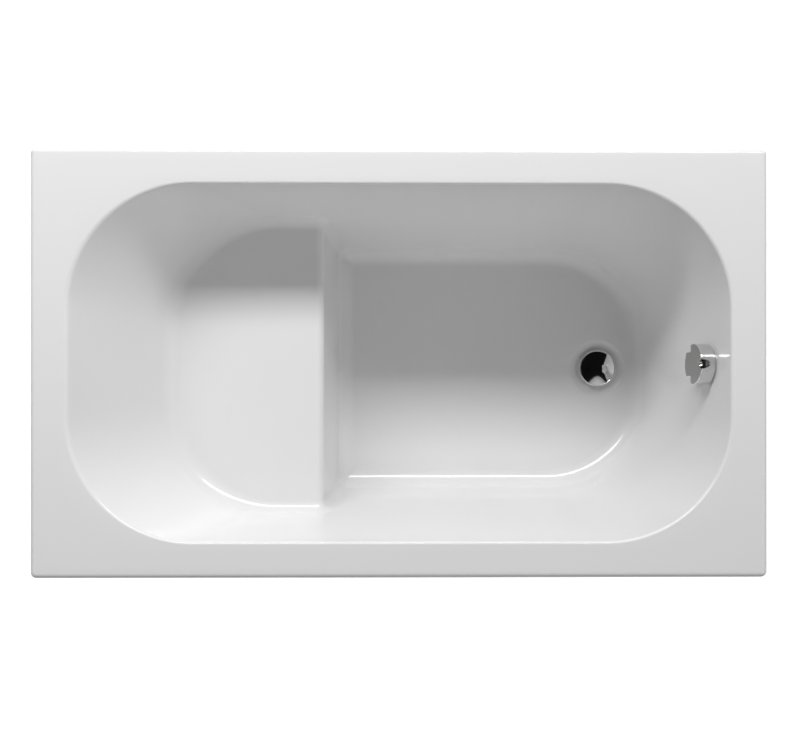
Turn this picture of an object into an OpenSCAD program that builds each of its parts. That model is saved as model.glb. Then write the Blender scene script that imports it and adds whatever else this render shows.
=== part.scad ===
/* [Bath] */
// Overall length, back end to drain end
bath_length = 1200; // [1150:10:1400]
// Overall width
bath_width = 700; // [660:10:760]
// Height of the rim above the floor that the feet stand on
rim_height = 570; // [560:5:640]
// Width of the flat deck at both ends
end_deck = 60; // [50:1:75]
// Width of the flat deck along both sides
side_deck = 60; // [50:1:70]
// Corner radius of the opening at the deck
opening_radius = 203; // [170:1:215]
// Height of the turned-down lip round the deck
lip_height = 38; // [32:1:60]
// Thickness of the acrylic with its glassfibre backing
shell_thickness = 5; // [4:0.5:6]
// Radius of the deck's outer corners in plan
outer_corner = 10; // [8:1:30]

/* [Well and seat] */
// Depth of the foot well below the deck
well_depth = 400; // [380:5:410]
// Depth of the seat below the deck
seat_depth = 195; // [170:5:220]
// Distance from the back end of the bath to the seat's front edge
seat_front = 464; // [440:1:490]
// Lean of the backrest from upright, degrees
backrest_angle = 33.7; // [25:0.1:36]
// Lean of the side walls from upright, degrees
side_angle = 8.8; // [6:0.1:11]
// Lean of the drain end wall from upright, degrees
drain_end_angle = 8.8; // [6:0.1:10]
// Lean of the riser below the seat from upright, degrees
riser_angle = 6.4; // [4:0.1:9]
// Corner radius of the well at its floor
floor_corner = 185; // [160:1:200]
// Fillet between the seat and the walls, and down the riser's corners
seat_fillet = 20; // [16:1:30]
// Fillet round the floor of the well
floor_fillet = 30; // [20:1:36]
// Rounding of the seat's front edge
seat_edge = 12; // [9:1:16]
// Rounding of the deck into the opening
rim_roll = 5; // [5:0.5:8]
// Height of the upright band at the top of the side walls
side_land = 9; // [6:1:14]
// Rounding of the deck's outer edge
deck_edge = 9; // [7:0.5:12]

/* [Waste] */
// Distance from the drain end of the bath to the drain's centre
drain_setback = 206; // [190:1:220]
// Diameter of the dish pressed round the drain
dish_diameter = 114; // [100:1:118]
// Depth of the dish
dish_depth = 7; // [6:0.5:8]
// Diameter of the flat bottom of the dish
dish_flat = 78; // [74:1:84]
// Diameter of the drain hole in the shell
drain_hole = 52; // [50:1:56]
// Diameter of the drain flange
flange_diameter = 68; // [66:1:72]
// Bore of the drain's throat
throat_bore = 40; // [38:1:42]
// Diameter of the domed plug cap
plug_diameter = 70.6; // [69:0.2:74]
// Radius of the plug cap's dome
plug_dome = 90; // [75:5:120]
// Bore of the cup under the drain
cup_bore = 60; // [58:1:64]
// Diameter of the plug's stem
stem_diameter = 10; // [9:0.5:11]
// Diameter of the lift pin
pin_diameter = 6; // [5:0.5:6.5]
// Turn of the rocker from closed to open, degrees
rocker_swing = 35; // [30:1:38]
// Length of the rocker's finger
finger_length = 15; // [13:0.5:16]
// Diameter of the rocker's shaft
rocker_shaft = 6; // [5:0.5:6.5]

/* [Overflow] */
// Depth of the overflow's centre below the deck
overflow_drop = 86; // [76:1:100]
// Diameter of the overflow knob
knob_diameter = 69; // [66:1:76]
// Distance of the knob's face from the wall
knob_reach = 28; // [25:1:32]
// Diameter of the overflow hole in the shell
overflow_hole = 54; // [54:1:56]
// Outside diameter of the overflow body behind the wall
overflow_body_diameter = 72; // [72:1:78]
// Depth of the overflow body behind its seal
overflow_body_depth = 40; // [36:1:42]
// Diameter of the knob's spindle
spindle_diameter = 8; // [7:0.5:9]
// Outside diameter of the overflow hose over its ribs
hose_diameter = 30; // [28:1:32]
// Bore of the overflow hose
hose_bore = 23; // [20:0.5:24]
// Spacing of the ribs along the hose
rib_pitch = 4.5; // [4:0.1:8]
// Radius of the hose's bend
hose_bend = 90; // [80:1:95]
// Diameter of the control cable's sheath
cable_diameter = 5; // [4:0.5:6]
// Radius of the control cable's bend
cable_bend = 60; // [50:1:65]

/* [Trap] */
// Outside diameter of the waste pipe
pipe_diameter = 40; // [40:1:43]
// Wall of the waste pipe
pipe_wall = 2.5; // [2:0.1:3]
// Distance of the pipe's open end behind the bath's centre line
pipe_reach = 200; // [150:5:330]
// Outside diameter of the trap's chamber
trap_diameter = 76; // [74:1:84]
// Height of the trap's removable cup
trap_cup_height = 20; // [16:1:22]

/* [Frame] */
// Thickness of the boards under the floor and the seat
board_thickness = 12; // [10:1:16]
// Side of the square steel tube
tube_side = 25; // [22:1:30]
// Wall of the square steel tube
tube_wall = 1.5; // [1.2:0.1:2.5]
// Distance of the back rail from the base board's back end
back_rail_inset = 40; // [30:5:60]
// Distance of the other rail from the base board's drain end
drain_rail_inset = 50; // [35:5:90]
// Distance of the seat frame behind the seat's front edge
seat_frame_setback = 137; // [120:1:170]
// Distance of the rails' feet outside the edge of the well's floor
foot_margin = 27; // [24:1:38]
// Distance of the rail screws from the centre line
screw_spread = 120; // [80:5:160]
// Height of the seat frame's leg ends above the floor
leg_lift = 60; // [55:1:75]
// Diameter of the threaded foot studs
stud_diameter = 10; // [8:1:12]
// Diameter of the foot pads
pad_diameter = 44; // [36:1:50]
// Height of the foot pads
pad_height = 12; // [10:1:16]
// How far a foot screws in from its middle setting
foot_up = 20; // [10:1:22]
// How far a foot screws out from its middle setting
foot_down = 25; // [10:1:26]
// Width and height of the timber battens under the deck
batten_side = 25; // [20:1:27]

/* [Fits] */
// Play round a part that turns or slides
running_play = 0.05; // [0.03:0.01:0.08]
// Gap between parts that move past each other
moving_gap = 0.3; // [0.25:0.05:0.5]

/* [Hidden] */
$fn = 64;

// Plan of the opening: its ends, its half width and its middle split beside the seat
back_x = -bath_length / 2 + end_deck;
drain_end_x = bath_length / 2 - end_deck;
opening_half = bath_width / 2 - side_deck;
seat_front_x = -bath_length / 2 + seat_front;
split_x = seat_front_x + seat_fillet;
radius_taper = (opening_radius - floor_corner) / well_depth;

// Levels above the floor that the bath stands on
floor_z = rim_height - well_depth;
seat_under_z = rim_height - seat_depth - shell_thickness;
floor_under_z = floor_z - shell_thickness;
dish_z = floor_z - dish_depth;
boss_z = dish_z - shell_thickness;
board_z = floor_under_z - board_thickness;
rail_z = board_z - tube_side;
seat_board_z = seat_under_z - board_thickness;
seat_rail_z = seat_board_z - tube_side;

// Parts of the waste, from the dish down
boss_rim = 6;
boss_radius = dish_diameter / 2 + boss_rim;
upper_seal_height = 1;
lip_thickness = 2;
flange_top_z = dish_z + upper_seal_height + lip_thickness;
throat_radius = throat_bore / 2;
tube_radius = throat_radius + 4;
flange_drop = 25;
neck_z = dish_z - flange_drop;
hub_radius = stem_diameter / 2 + 3;
hub_height = 10;
arm_height = 8;
arm_width = 3;
spider_z = neck_z + 2;
lower_seal_height = 3;
body_top_z = boss_z - lower_seal_height;
body_flange = 42;
body_flange_height = 4;
body_wall = 3;
cup_radius = cup_bore / 2;
cup_top_z = neck_z - 2;
cup_depth = 24;
cup_z = cup_top_z - cup_depth;
outlet_radius = 18;
outlet_wall = 3;
outlet_end_z = cup_z - 16;
shaft_z = cup_z + 10;
shaft_offset = finger_length * cos(rocker_swing / 2);
finger_radius = 3;
finger_width = 6;
finger_thickness = 4.4;
boss_wall = 3;
boss_reach = 3;
plug_lift = 2 * finger_length * sin(rocker_swing / 2);
pin_base_z = shaft_z - plug_lift / 2 + finger_radius + moving_gap;
pin_top_z = dish_z - 8;
seal_z = flange_top_z + moving_gap;
plug_seal_height = 2.5;
cap_z = seal_z + plug_seal_height;
cap_edge = 1.5;
cap_rise = plug_dome - sqrt(plug_dome * plug_dome - plug_diameter * plug_diameter / 4);
drain_x = bath_length / 2 - drain_setback;

// Rocker crank and control cable beside the drain body
crank_length = 16;
crank_y = cup_radius + body_wall + 7;
crank_width = 4;
wire_radius = 0.8;
wire_z = shaft_z + crank_length;
wire_play = 0.4;
wire_tail = 20;
slot_width = 2 * wire_radius + 1.2;
nipple_radius = 2.2;
nipple_length = 4;
nipple_x = drain_x + shaft_offset - crank_length * sin(rocker_swing / 2) - 5 - nipple_length;
bracket_x = cup_radius + body_wall + 9;
bracket_thickness = 4;
bracket_side = 12;
cable_end_x = drain_x + bracket_x + bracket_thickness;

// Overflow: where its axis meets the wall, and the parts behind the wall
overflow_x = drain_end_x - overflow_drop * tan(drain_end_angle);
overflow_z = rim_height - overflow_drop;
inner_flange = 3;
inner_flange_radius = overflow_hole / 2 + 4;
inlet_hole_radius = 7;
inlet_hole_place = 17;
overflow_seal_height = 3;
body_front = -shell_thickness - overflow_seal_height;
body_back = body_front - overflow_body_depth;
overflow_wall = 3;
body_radius = overflow_body_diameter / 2;
post_spread = 20;
post_radius = 4.5;
screw_radius = 2;
spigot_radius = hose_diameter / 2 - 1;
spigot_bore = spigot_radius - 3;
body_middle = (body_front + body_back) / 2;
hose_x = overflow_x - body_middle * cos(drain_end_angle);
body_axis_z = overflow_z + body_middle * sin(drain_end_angle);
spigot_length = 18;
spigot_root = 8;
spigot_end_z = body_axis_z - body_radius - spigot_length;
nut_wall = 4;
grip_rib = 2.2;
cable_y = hose_diameter / 2 + nut_wall + grip_rib + cable_diameter / 2;
gland_radius = cable_diameter / 2 + 2;
gland_length = 4;
gland_end_z = body_axis_z - body_radius - gland_length;
screw_depth = 20;
knob_gap = 4;
knob_radius = knob_diameter / 2;
knob_face = 3;
knob_wall = 2.5;
knob_skirt = 7;
knob_edge = 1.5;
inlet_side = 21;
inlet_back = 11;
dimple_radius = 9.5;
dimple_length = 16.5;
dimple_offset = 1;
spindle_boss = spindle_diameter / 2 + 3;
spindle_end = knob_reach - 2 * knob_face;
cam_radius = 13;
cam_height = 6;
cam_boss = 6;

// Hose spigot on the drain body
hose_z = shaft_z + 3;
lower_spigot_end = hose_x - drain_x - hose_bend;

// Overflow hose and control cable, from the overflow down to the drain
tube_sides = 8;
hose_drop = spigot_end_z - hose_z - hose_bend;
hose_length = hose_drop + hose_bend * PI / 2;
hose_valley = hose_diameter / 2 - 2;
rib_count = floor((hose_length - 2 * hose_diameter) / rib_pitch);
rib_start = (hose_length - rib_count * rib_pitch) / 2;
cable_drop = gland_end_z - wire_z - cable_bend;
cable_length = cable_drop + cable_bend * PI / 2 + hose_x - cable_bend - cable_end_x;
clip_height = 8;
clip_wall = 3;
nut_grip = 20;
hose_grip = 8;

// Trap, from the drain's outlet down
trap_seal_height = 3;
trap_top_z = outlet_end_z - trap_seal_height;
trap_radius = trap_diameter / 2;
trap_wall = 3;
inlet_radius = outlet_radius - 1;
inlet_wall = 2.5;
inlet_flange_height = 4;
nut_collar = 3;
nut_play = 0.3;
union_height = 20;
chamber_top_z = trap_top_z - inlet_flange_height - nut_collar - 1;
pipe_radius = pipe_diameter / 2;
socket_wall = 3;
pipe_z = chamber_top_z - pipe_radius - socket_wall;
socket_reach = trap_radius + 34;
outlet_seal_height = 3;
cup_lap = 6;
cup_seal_height = 2;
chamber_z = pipe_z - pipe_radius - socket_wall - cup_lap - 1;
trap_cup_z = chamber_z - cup_seal_height - trap_cup_height;
pipe_start = trap_radius + 4;
depth_mark = socket_reach + outlet_seal_height + nut_collar + 3;
mark_width = 2;
mark_depth = 0.4;

// Board under the well's floor, and the board under the seat
board_edge = 3;
board_back_x = riser_at(well_depth) + floor_fillet;
board_drain_x = drain_x - boss_radius - 12;
board_half = half_at(well_depth) - floor_fillet - board_edge;
seat_board_back_x = back_at(seat_depth) + seat_fillet / cos(backrest_angle) + 2 * board_edge;
seat_board_front_x = seat_front_x - seat_edge - 5 * board_edge;
seat_board_half = half_at(seat_depth) - seat_fillet - 10 * board_edge;

// Rails, frame and feet
back_rail = board_back_x + back_rail_inset;
drain_rail = board_drain_x - drain_rail_inset;
seat_frame_x = seat_front_x - seat_frame_setback;
foot_spread = half_at(well_depth) + foot_margin;
leg_y = foot_spread - tube_side / 2;
rail_half = foot_spread + tube_side / 2 + 3;
tube_inner = tube_side - 2 * tube_wall;
stretcher_z = leg_lift + 1.5 * tube_side;
cap_thickness = 2;
cap_plug = 5;
wood_screw_radius = 2.4;
wood_screw_head = 2.5;
feet = [
    [back_rail, -foot_spread], [back_rail, foot_spread],
    [drain_rail, -foot_spread], [drain_rail, foot_spread],
    [seat_frame_x, -leg_y], [seat_frame_x, leg_y]
];
nut_height = 0.8 * stud_diameter;
nut_width = 1.7 * stud_diameter;
stud_radius = stud_diameter / 2;
stud_base = pad_height / 2;
stud_top = board_z + nut_height + foot_down + stud_radius - 1;
insert_height = tube_side;
batten_gap = 3;
batten_inset = shell_thickness + batten_gap + batten_side / 2;

// Points along each part of a half outline, from the drain end to the back end
steps = [2, 7, 6, 5, 6, 3];

function mix(a, b, t) = a + (b - a) * t;
function clamp(t) = max(0, min(1, t));

// Empty space left by both of two walls, with a concave fillet of radius r between them
function fillet(a, b, r) = (a < r && b < r) ? r - norm([r - a, r - b]) : min(a, b);

// Empty space on either side of an edge, with the edge rounded to radius r
function round_edge(a, b, r) = (a > -r && b > -r) ? norm([r + a, r + b]) - r : max(a, b);

// Ends, half width and corner radius of the full opening at a depth below the deck
function back_at(depth) = back_x + depth * tan(backrest_angle);
function drain_end_at(depth) = drain_end_x - depth * tan(drain_end_angle);
function half_at(depth) = opening_half - max(depth - side_land, 0) * tan(side_angle);
function radius_at(depth) = opening_radius - depth * radius_taper;
function riser_at(depth) = seat_front_x + (depth - seat_depth) * tan(riser_angle);

// Distance inside the sloping walls, measured square to them
function wall_gap(x, y, depth) =
    let (
        low = back_at(depth),
        high = drain_end_at(depth),
        r = radius_at(depth),
        over_x = abs(x - (low + high) / 2) - (high - low) / 2 + r,
        over_y = abs(y) - half_at(depth) + r,
        corner = over_x > 0 && over_y > 0,
        reach = corner ? norm([over_x, over_y]) : max(over_x, over_y),
        end_share = corner ? over_x / reach : (over_x > over_y ? 1 : 0),
        end_slope = x < (low + high) / 2 ? tan(backrest_angle) : tan(drain_end_angle),
        slope = end_share * end_slope + sqrt(1 - end_share * end_share) * tan(side_angle)
    )
    (r - reach) / sqrt(1 + slope * slope);

function riser_gap(x, depth) = (x - riser_at(depth)) * cos(riser_angle);

// Above zero in the water space, below zero in the material
function bath_gap(x, y, depth) =
    let (
        step = round_edge(seat_depth - depth, riser_gap(x, depth), seat_edge),
        walls = fillet(step, wall_gap(x, y, depth), seat_fillet),
        bowl = fillet(walls, well_depth - depth, floor_fillet)
    )
    round_edge(bowl, -depth, rim_roll);

// Depth of the surface under a point of the plan, by halving an interval
function surface_depth(x, y, low = 0, high = well_depth, tries = 22) =
    let (middle = (low + high) / 2)
    tries == 0 ? middle
    : bath_gap(x, y, middle) > 0 ? surface_depth(x, y, middle, high, tries - 1)
    : surface_depth(x, y, low, middle, tries - 1);

// Unit normal of the surface, pointing into the water space
function surface_normal(x, y, depth, e = 0.05) =
    let (
        g = [
            bath_gap(x + e, y, depth) - bath_gap(x - e, y, depth),
            bath_gap(x, y + e, depth) - bath_gap(x, y - e, depth),
            bath_gap(x, y, depth - e) - bath_gap(x, y, depth + e)
        ]
    )
    g / norm(g);

function arc_point(cx, cy, rx, ry, angle) = [cx + rx * cos(angle), cy + ry * sin(angle)];

// Half outline of the full opening, with the same number of points in each stretch
function full_half(low, high, half, r_high, r_low) = [
    for (i = [0:steps[0] - 1]) [high, (half - r_high) * i / steps[0]],
    for (i = [0:steps[1] - 1]) arc_point(high - r_high, half - r_high, r_high, r_high, 90 * i / steps[1]),
    for (i = [0:steps[2] - 1]) [mix(high - r_high, split_x, i / steps[2]), half],
    for (i = [0:steps[3] - 1]) [mix(split_x, low + r_low, pow(i / steps[3], 1.4)), half],
    for (i = [0:steps[4] - 1]) arc_point(low + r_low, half - r_low, r_low, r_low, 90 + 90 * i / steps[4]),
    for (i = [0:steps[5]]) [low, (half - r_low) * (1 - i / steps[5])]
];

// Half outline of the foot well, whose riser corner is an arc of radii cx and cy
function well_half(low, high, half, r_high, cx, cy) =
    let (line = steps[4] + steps[5])
    [
        for (i = [0:steps[0] - 1]) [high, (half - r_high) * i / steps[0]],
        for (i = [0:steps[1] - 1])
            arc_point(high - r_high, half - r_high, r_high, r_high, 90 * i / steps[1]),
        for (i = [0:steps[2] - 1]) [mix(high - r_high, low + cx, i / steps[2]), half],
        for (i = [0:steps[3] - 1]) arc_point(low + cx, half - cy, cx, cy, 90 + 90 * i / steps[3]),
        for (i = [0:line]) [low, (half - cy) * (1 - i / line)]
    ];

function whole(half_ring) = concat(
    half_ring,
    [for (i = [len(half_ring) - 2:-1:1]) [half_ring[i].x, -half_ring[i].y]]
);

// Full opening at a depth, drawn in by a distance measured square to the walls
function opening_ring(depth, inset) = full_half(
    back_at(depth) + inset / cos(backrest_angle),
    drain_end_at(depth) - inset / cos(drain_end_angle),
    half_at(depth) - inset / cos(side_angle),
    radius_at(depth) - inset, radius_at(depth) - inset
);

// Ring down the seat's fillet: on the wall beside the well, across the fillet beside the seat
function seat_ring(turn) =
    let (
        on_wall = opening_ring(seat_depth - seat_fillet + seat_fillet * 0.6 * turn / 90, 0),
        on_seat = opening_ring(
            seat_depth - seat_fillet * (1 - sin(turn)),
            seat_fillet * (1 - cos(turn))
        )
    )
    [
        for (i = [0:len(on_wall) - 1])
            let (share = clamp((seat_front_x - on_wall[i].x) / (1.4 * seat_fillet)))
            mix(on_wall[i], on_seat[i], share * share * (3 - 2 * share))
    ];

// Ring round the foot well at a depth, with its riser moved out over the seat
function well_ring(depth, wall_depth, outset, inset) = well_half(
    riser_at(depth) - outset + inset,
    drain_end_at(wall_depth) - inset,
    half_at(wall_depth) - inset,
    radius_at(wall_depth) - inset,
    max(seat_fillet - inset, 1) + outset,
    max(seat_fillet - inset, 1)
);

plan_rings = concat(
    [for (turn = [0:30:90]) whole(opening_ring(
        rim_roll * (1 - cos(turn)),
        -rim_roll * (1 - sin(turn))
    ))],
    [for (turn = [0:22.5:90]) whole(seat_ring(turn))],
    [for (turn = [0:30:90]) whole(well_ring(
        seat_depth + seat_edge * (1 - cos(turn)),
        seat_depth - 6 + (seat_edge + 6) * turn / 90,
        seat_edge * (1 - sin(turn)),
        0
    ))],
    [for (turn = [0:22.5:90]) whole(well_ring(
        well_depth - floor_fillet * (1 - sin(turn)),
        well_depth - floor_fillet * (1 - sin(turn)),
        0,
        floor_fillet * (1 - cos(turn))
    ))]
);

function rect_ring(inset, z) = [
    for (p = whole(full_half(
        -bath_length / 2 + inset, bath_length / 2 - inset, bath_width / 2 - inset,
        max(outer_corner - inset, 0.5), max(outer_corner - inset, 0.5)
    ))) [p.x, p.y, z]
];

module bath_skin() {
    flat_ring = len(plan_rings) - 1;
    depths = [
        for (k = [0:flat_ring]) [
            for (p = plan_rings[k])
                k == 0 ? 0 : k == flat_ring ? well_depth : surface_depth(p.x, p.y)
        ]
    ];
    inside = [
        for (k = [0:flat_ring]) [
            for (i = [0:len(plan_rings[k]) - 1])
                [plan_rings[k][i].x, plan_rings[k][i].y, rim_height - depths[k][i]]
        ]
    ];
    under = [
        for (k = [0:flat_ring]) [
            for (i = [0:len(plan_rings[k]) - 1])
                let (
                    n = k == 0 || k == flat_ring ? [0, 0, 1]
                        : surface_normal(plan_rings[k][i].x, plan_rings[k][i].y, depths[k][i])
                )
                inside[k][i] - shell_thickness * n
        ]
    ];
    outer_edge = concat(
        [rect_ring(0, rim_height - lip_height)],
        [for (turn = [0:30:90]) rect_ring(
            deck_edge * (1 - cos(turn)),
            rim_height - deck_edge * (1 - sin(turn))
        )]
    );
    inner_edge = [
        rect_ring(shell_thickness, rim_height - shell_thickness),
        rect_ring(shell_thickness, rim_height - lip_height)
    ];
    rings = concat(
        outer_edge,
        inside,
        [for (k = [flat_ring:-1:0]) under[k]],
        inner_edge
    );
    count = len(rings[0]);
    last_inside = len(outer_edge) + flat_ring;
    skin = [
        for (k = [0:len(rings) - 1]) if (k != last_inside)
            for (i = [0:count - 1]) for (half = [0, 1])
                let (
                    next = (k + 1) % len(rings),
                    j = (i + 1) % count,
                    a = k * count + i,
                    b = k * count + j,
                    c = next * count + j,
                    d = next * count + i
                )
                half == 0 ? [c, b, a] : [d, c, a]
    ];
    middle_x = (plan_rings[flat_ring][0].x + plan_rings[flat_ring][count / 2].x) / 2;
    middle_top = len(rings) * count;
    floor_top = [
        for (i = [0:count - 1])
            [middle_top, last_inside * count + (i + 1) % count, last_inside * count + i]
    ];
    floor_under = [
        for (i = [0:count - 1])
            [middle_top + 1, (last_inside + 1) * count + i, (last_inside + 1) * count + (i + 1) % count]
    ];
    polyhedron(
        points = [
            for (ring = rings) for (p = ring) p,
            [middle_x, 0, floor_z],
            [middle_x, 0, floor_under_z]
        ],
        faces = concat(skin, floor_top, floor_under),
        convexity = 10
    );
}

// Frame on the overflow's axis: its origin on the wall and its Z axis into the bath
module at_overflow() {
    translate([overflow_x, 0, overflow_z])
        rotate([0, drain_end_angle - 90, 0])
            children();
}

module at_drain() {
    translate([drain_x, 0, 0]) children();
}

module ring_of(outer, inner, height) {
    rotate_extrude() translate([inner, 0]) square([outer - inner, height]);
}

module bath_shell() color("white") {
    difference() {
        union() {
            bath_skin();
            at_drain() translate([0, 0, boss_z])
                cylinder(r = boss_radius, h = floor_z - 1 - boss_z);
        }
        at_drain() translate([0, 0, dish_z]) rotate_extrude() polygon([
            [0, 0], [dish_flat / 2, 0], [dish_diameter / 2, dish_depth],
            [dish_diameter / 2, dish_depth + 1], [0, dish_depth + 1]
        ]);
        at_drain() translate([0, 0, boss_z - 1])
            cylinder(d = drain_hole, h = dish_depth + shell_thickness + 2);
        at_overflow() translate([0, 0, -2 * shell_thickness])
            cylinder(d = overflow_hole, h = 3 * shell_thickness);
    }
}

// Board with pilot holes from below for the rails' screws
module drilled_board(low_x, high_x, half, z, rails)
    difference() {
        translate([low_x, -half, z]) cube([high_x - low_x, 2 * half, board_thickness]);
        for (x = rails, y = [-screw_spread, screw_spread])
            translate([x, y, z - 1])
                cylinder(r = wood_screw_radius + running_play, h = board_thickness);
    }

module base_board() color("burlywood")
    drilled_board(board_back_x, board_drain_x, board_half, board_z, [back_rail, drain_rail]);

module seat_board() color("burlywood")
    drilled_board(
        seat_board_back_x, seat_board_front_x, seat_board_half, seat_board_z, [seat_frame_x]
    );

module batten(length) {
    translate([-length / 2, -batten_side / 2, rim_height - shell_thickness - batten_side])
        cube([length, batten_side, batten_side]);
}

module side_batten(side) color("tan")
    translate([0, side * (bath_width / 2 - batten_inset), 0])
        batten(bath_length - 2 * end_deck);

module end_batten(side) color("tan")
    translate([side * (bath_length / 2 - batten_inset), 0, 0])
        rotate([0, 0, 90]) batten(bath_width - 2 * side_deck - batten_side);

// Square tube along Z, open at both ends
module square_tube(side, wall, length) {
    difference() {
        translate([-side / 2, -side / 2, 0]) cube([side, side, length]);
        translate([-side / 2 + wall, -side / 2 + wall, -1])
            cube([side - 2 * wall, side - 2 * wall, length + 2]);
    }
}

module cross_rail(x) color("lightsteelblue")
    difference() {
        translate([x, rail_half, rail_z + tube_side / 2])
            rotate([90, 0, 0]) square_tube(tube_side, tube_wall, 2 * rail_half);
        for (y = [-foot_spread, foot_spread])
            translate([x, y, rail_z - 1])
                cylinder(r = stud_radius + running_play, h = tube_side + 2);
        for (y = [-screw_spread, screw_spread])
            translate([x, y, rail_z - 1])
                cylinder(r = wood_screw_radius + running_play, h = tube_side + 2);
    }

module seat_frame() color("lightsteelblue")
    translate([seat_frame_x, 0, 0]) difference() {
        union() {
            translate([-tube_side / 2, -foot_spread, seat_rail_z])
                cube([tube_side, 2 * foot_spread, tube_side]);
            for (y = [-leg_y, leg_y])
                translate([-tube_side / 2, y - tube_side / 2, leg_lift])
                    cube([tube_side, tube_side, seat_rail_z - leg_lift + 1]);
            translate([-tube_side / 2, -leg_y, stretcher_z])
                cube([tube_side, 2 * leg_y, tube_side]);
        }
        translate([-tube_inner / 2, -foot_spread - 1, seat_rail_z + tube_wall])
            cube([tube_inner, 2 * foot_spread + 2, tube_inner]);
        for (y = [-leg_y, leg_y])
            translate([-tube_inner / 2, y - tube_inner / 2, leg_lift - 1])
                cube([tube_inner, tube_inner, seat_rail_z - leg_lift]);
        translate([-tube_inner / 2, -leg_y + tube_side / 2, stretcher_z + tube_wall])
            cube([tube_inner, 2 * leg_y - tube_side, tube_inner]);
        for (y = [-screw_spread, screw_spread])
            translate([0, y, seat_rail_z - 1])
                cylinder(r = wood_screw_radius + running_play, h = tube_side + 2);
    }

module leg_inserts() color("dimgray")
    for (y = [-leg_y, leg_y])
        translate([seat_frame_x, y, leg_lift])
            difference() {
                tube_filling(0, insert_height);
                translate([0, 0, -1])
                    cylinder(r = stud_radius + running_play, h = insert_height + 2);
            }

// Square plug that fits inside a tube, from one level to another
module tube_filling(from, to) {
    side = tube_inner - 2 * running_play;
    translate([-side / 2, -side / 2, from]) cube([side, side, to - from]);
}

module rail_cap() {
    translate([-tube_side / 2, -tube_side / 2, 0]) cube([tube_side, tube_side, cap_thickness]);
    tube_filling(-cap_plug, cap_thickness / 2);
}

module rail_caps() color("dimgray")
    for (side = [-1, 1]) {
        for (x = [back_rail, drain_rail])
            translate([x, side * rail_half, rail_z + tube_side / 2])
                rotate([-90 * side, 0, 0]) rail_cap();
        translate([seat_frame_x, side * foot_spread, seat_rail_z + tube_side / 2])
            rotate([-90 * side, 0, 0]) rail_cap();
    }

module wood_screw() {
    translate([0, 0, -wood_screw_head]) cylinder(r = 1.9 * wood_screw_radius, h = wood_screw_head);
    cylinder(r = wood_screw_radius, h = tube_side + 0.75 * board_thickness);
}

module rail_screws() color("silver")
    for (y = [-screw_spread, screw_spread]) {
        for (x = [back_rail, drain_rail])
            translate([x, y, rail_z]) wood_screw();
        translate([seat_frame_x, y, seat_rail_z]) wood_screw();
    }

module hex_nut() {
    difference() {
        cylinder(d = nut_width / cos(30), h = nut_height, $fn = 6);
        translate([0, 0, -1]) cylinder(r = stud_radius + running_play, h = nut_height + 2);
    }
}

module lock_nuts() color("silver") {
    for (i = [0:3]) translate([feet[i].x, feet[i].y, 0]) {
        translate([0, 0, rail_z - nut_height]) hex_nut();
        translate([0, 0, board_z]) hex_nut();
    }
    for (i = [4:5]) translate([feet[i].x, feet[i].y, leg_lift - nut_height]) hex_nut();
}

module foot_stud(i) color("silver")
    translate([feet[i].x, feet[i].y, stud_base])
        cylinder(r = stud_radius, h = stud_top - stud_base);

module foot_pad(i) color("dimgray")
    translate([feet[i].x, feet[i].y, 0])
        difference() {
            rotate_extrude() polygon([
                [0, 0], [pad_diameter / 2 - 1, 0], [pad_diameter / 2, 1],
                [pad_diameter / 2, pad_height / 3], [stud_radius + 5, pad_height],
                [0, pad_height]
            ]);
            translate([0, 0, stud_base]) cylinder(r = stud_radius + 0.02, h = pad_height);
        }

module drain_flange() color("silver") at_drain()
    difference() {
        union() {
            rotate_extrude() polygon([
                [throat_radius, neck_z], [tube_radius, neck_z],
                [tube_radius, flange_top_z - lip_thickness],
                [flange_diameter / 2, flange_top_z - lip_thickness],
                [flange_diameter / 2 - 1, flange_top_z],
                [throat_radius + 1, flange_top_z], [throat_radius, flange_top_z - 1]
            ]);
            translate([0, 0, spider_z]) cylinder(r = hub_radius, h = hub_height);
            for (angle = [60, 180, 300]) rotate([0, 0, angle])
                translate([hub_radius - 1, -arm_width / 2, spider_z])
                    cube([throat_radius - hub_radius + 2, arm_width, arm_height]);
        }
        translate([0, 0, neck_z])
            cylinder(d = stem_diameter + 2 * running_play, h = 2 * hub_height);
    }

module drain_seal_upper() color("dimgray") at_drain() translate([0, 0, dish_z])
    ring_of(flange_diameter / 2 - 1, tube_radius + 0.3, upper_seal_height);

module drain_seal_lower() color("dimgray") at_drain() translate([0, 0, body_top_z])
    ring_of(body_flange - 2, tube_radius + 0.3, lower_seal_height);

module drain_body() color("whitesmoke") at_drain()
    difference() {
        union() {
            rotate_extrude() polygon([
                [tube_radius + running_play, body_top_z], [body_flange, body_top_z],
                [body_flange, body_top_z - body_flange_height],
                [cup_radius + body_wall, body_top_z - body_flange_height - 2],
                [cup_radius + body_wall, cup_z], [outlet_radius + outlet_wall, cup_z - 4],
                [outlet_radius + outlet_wall, outlet_end_z], [outlet_radius, outlet_end_z],
                [outlet_radius, cup_z], [cup_radius, cup_z + 2],
                [cup_radius, cup_top_z], [tube_radius + running_play, cup_top_z + 1]
            ]);
            translate([cup_radius + 1, 0, hose_z]) rotate([0, 90, 0])
                cylinder(r = spigot_radius, h = lower_spigot_end - cup_radius - 1);
            translate([shaft_offset, 0, shaft_z]) rotate([-90, 0, 0])
                cylinder(r = rocker_shaft / 2 + boss_wall, h = cup_radius + body_wall + boss_reach);
        }
        translate([cup_radius / 2, 0, hose_z]) rotate([0, 90, 0])
            cylinder(r = spigot_bore, h = lower_spigot_end);
        translate([shaft_offset, cup_radius / 2, shaft_z]) rotate([-90, 0, 0])
            cylinder(d = rocker_shaft + 2 * running_play, h = cup_radius);
        translate([0, 0, cup_z + 2]) cylinder(r = cup_radius, h = cup_top_z - cup_z - 2);
    }

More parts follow.
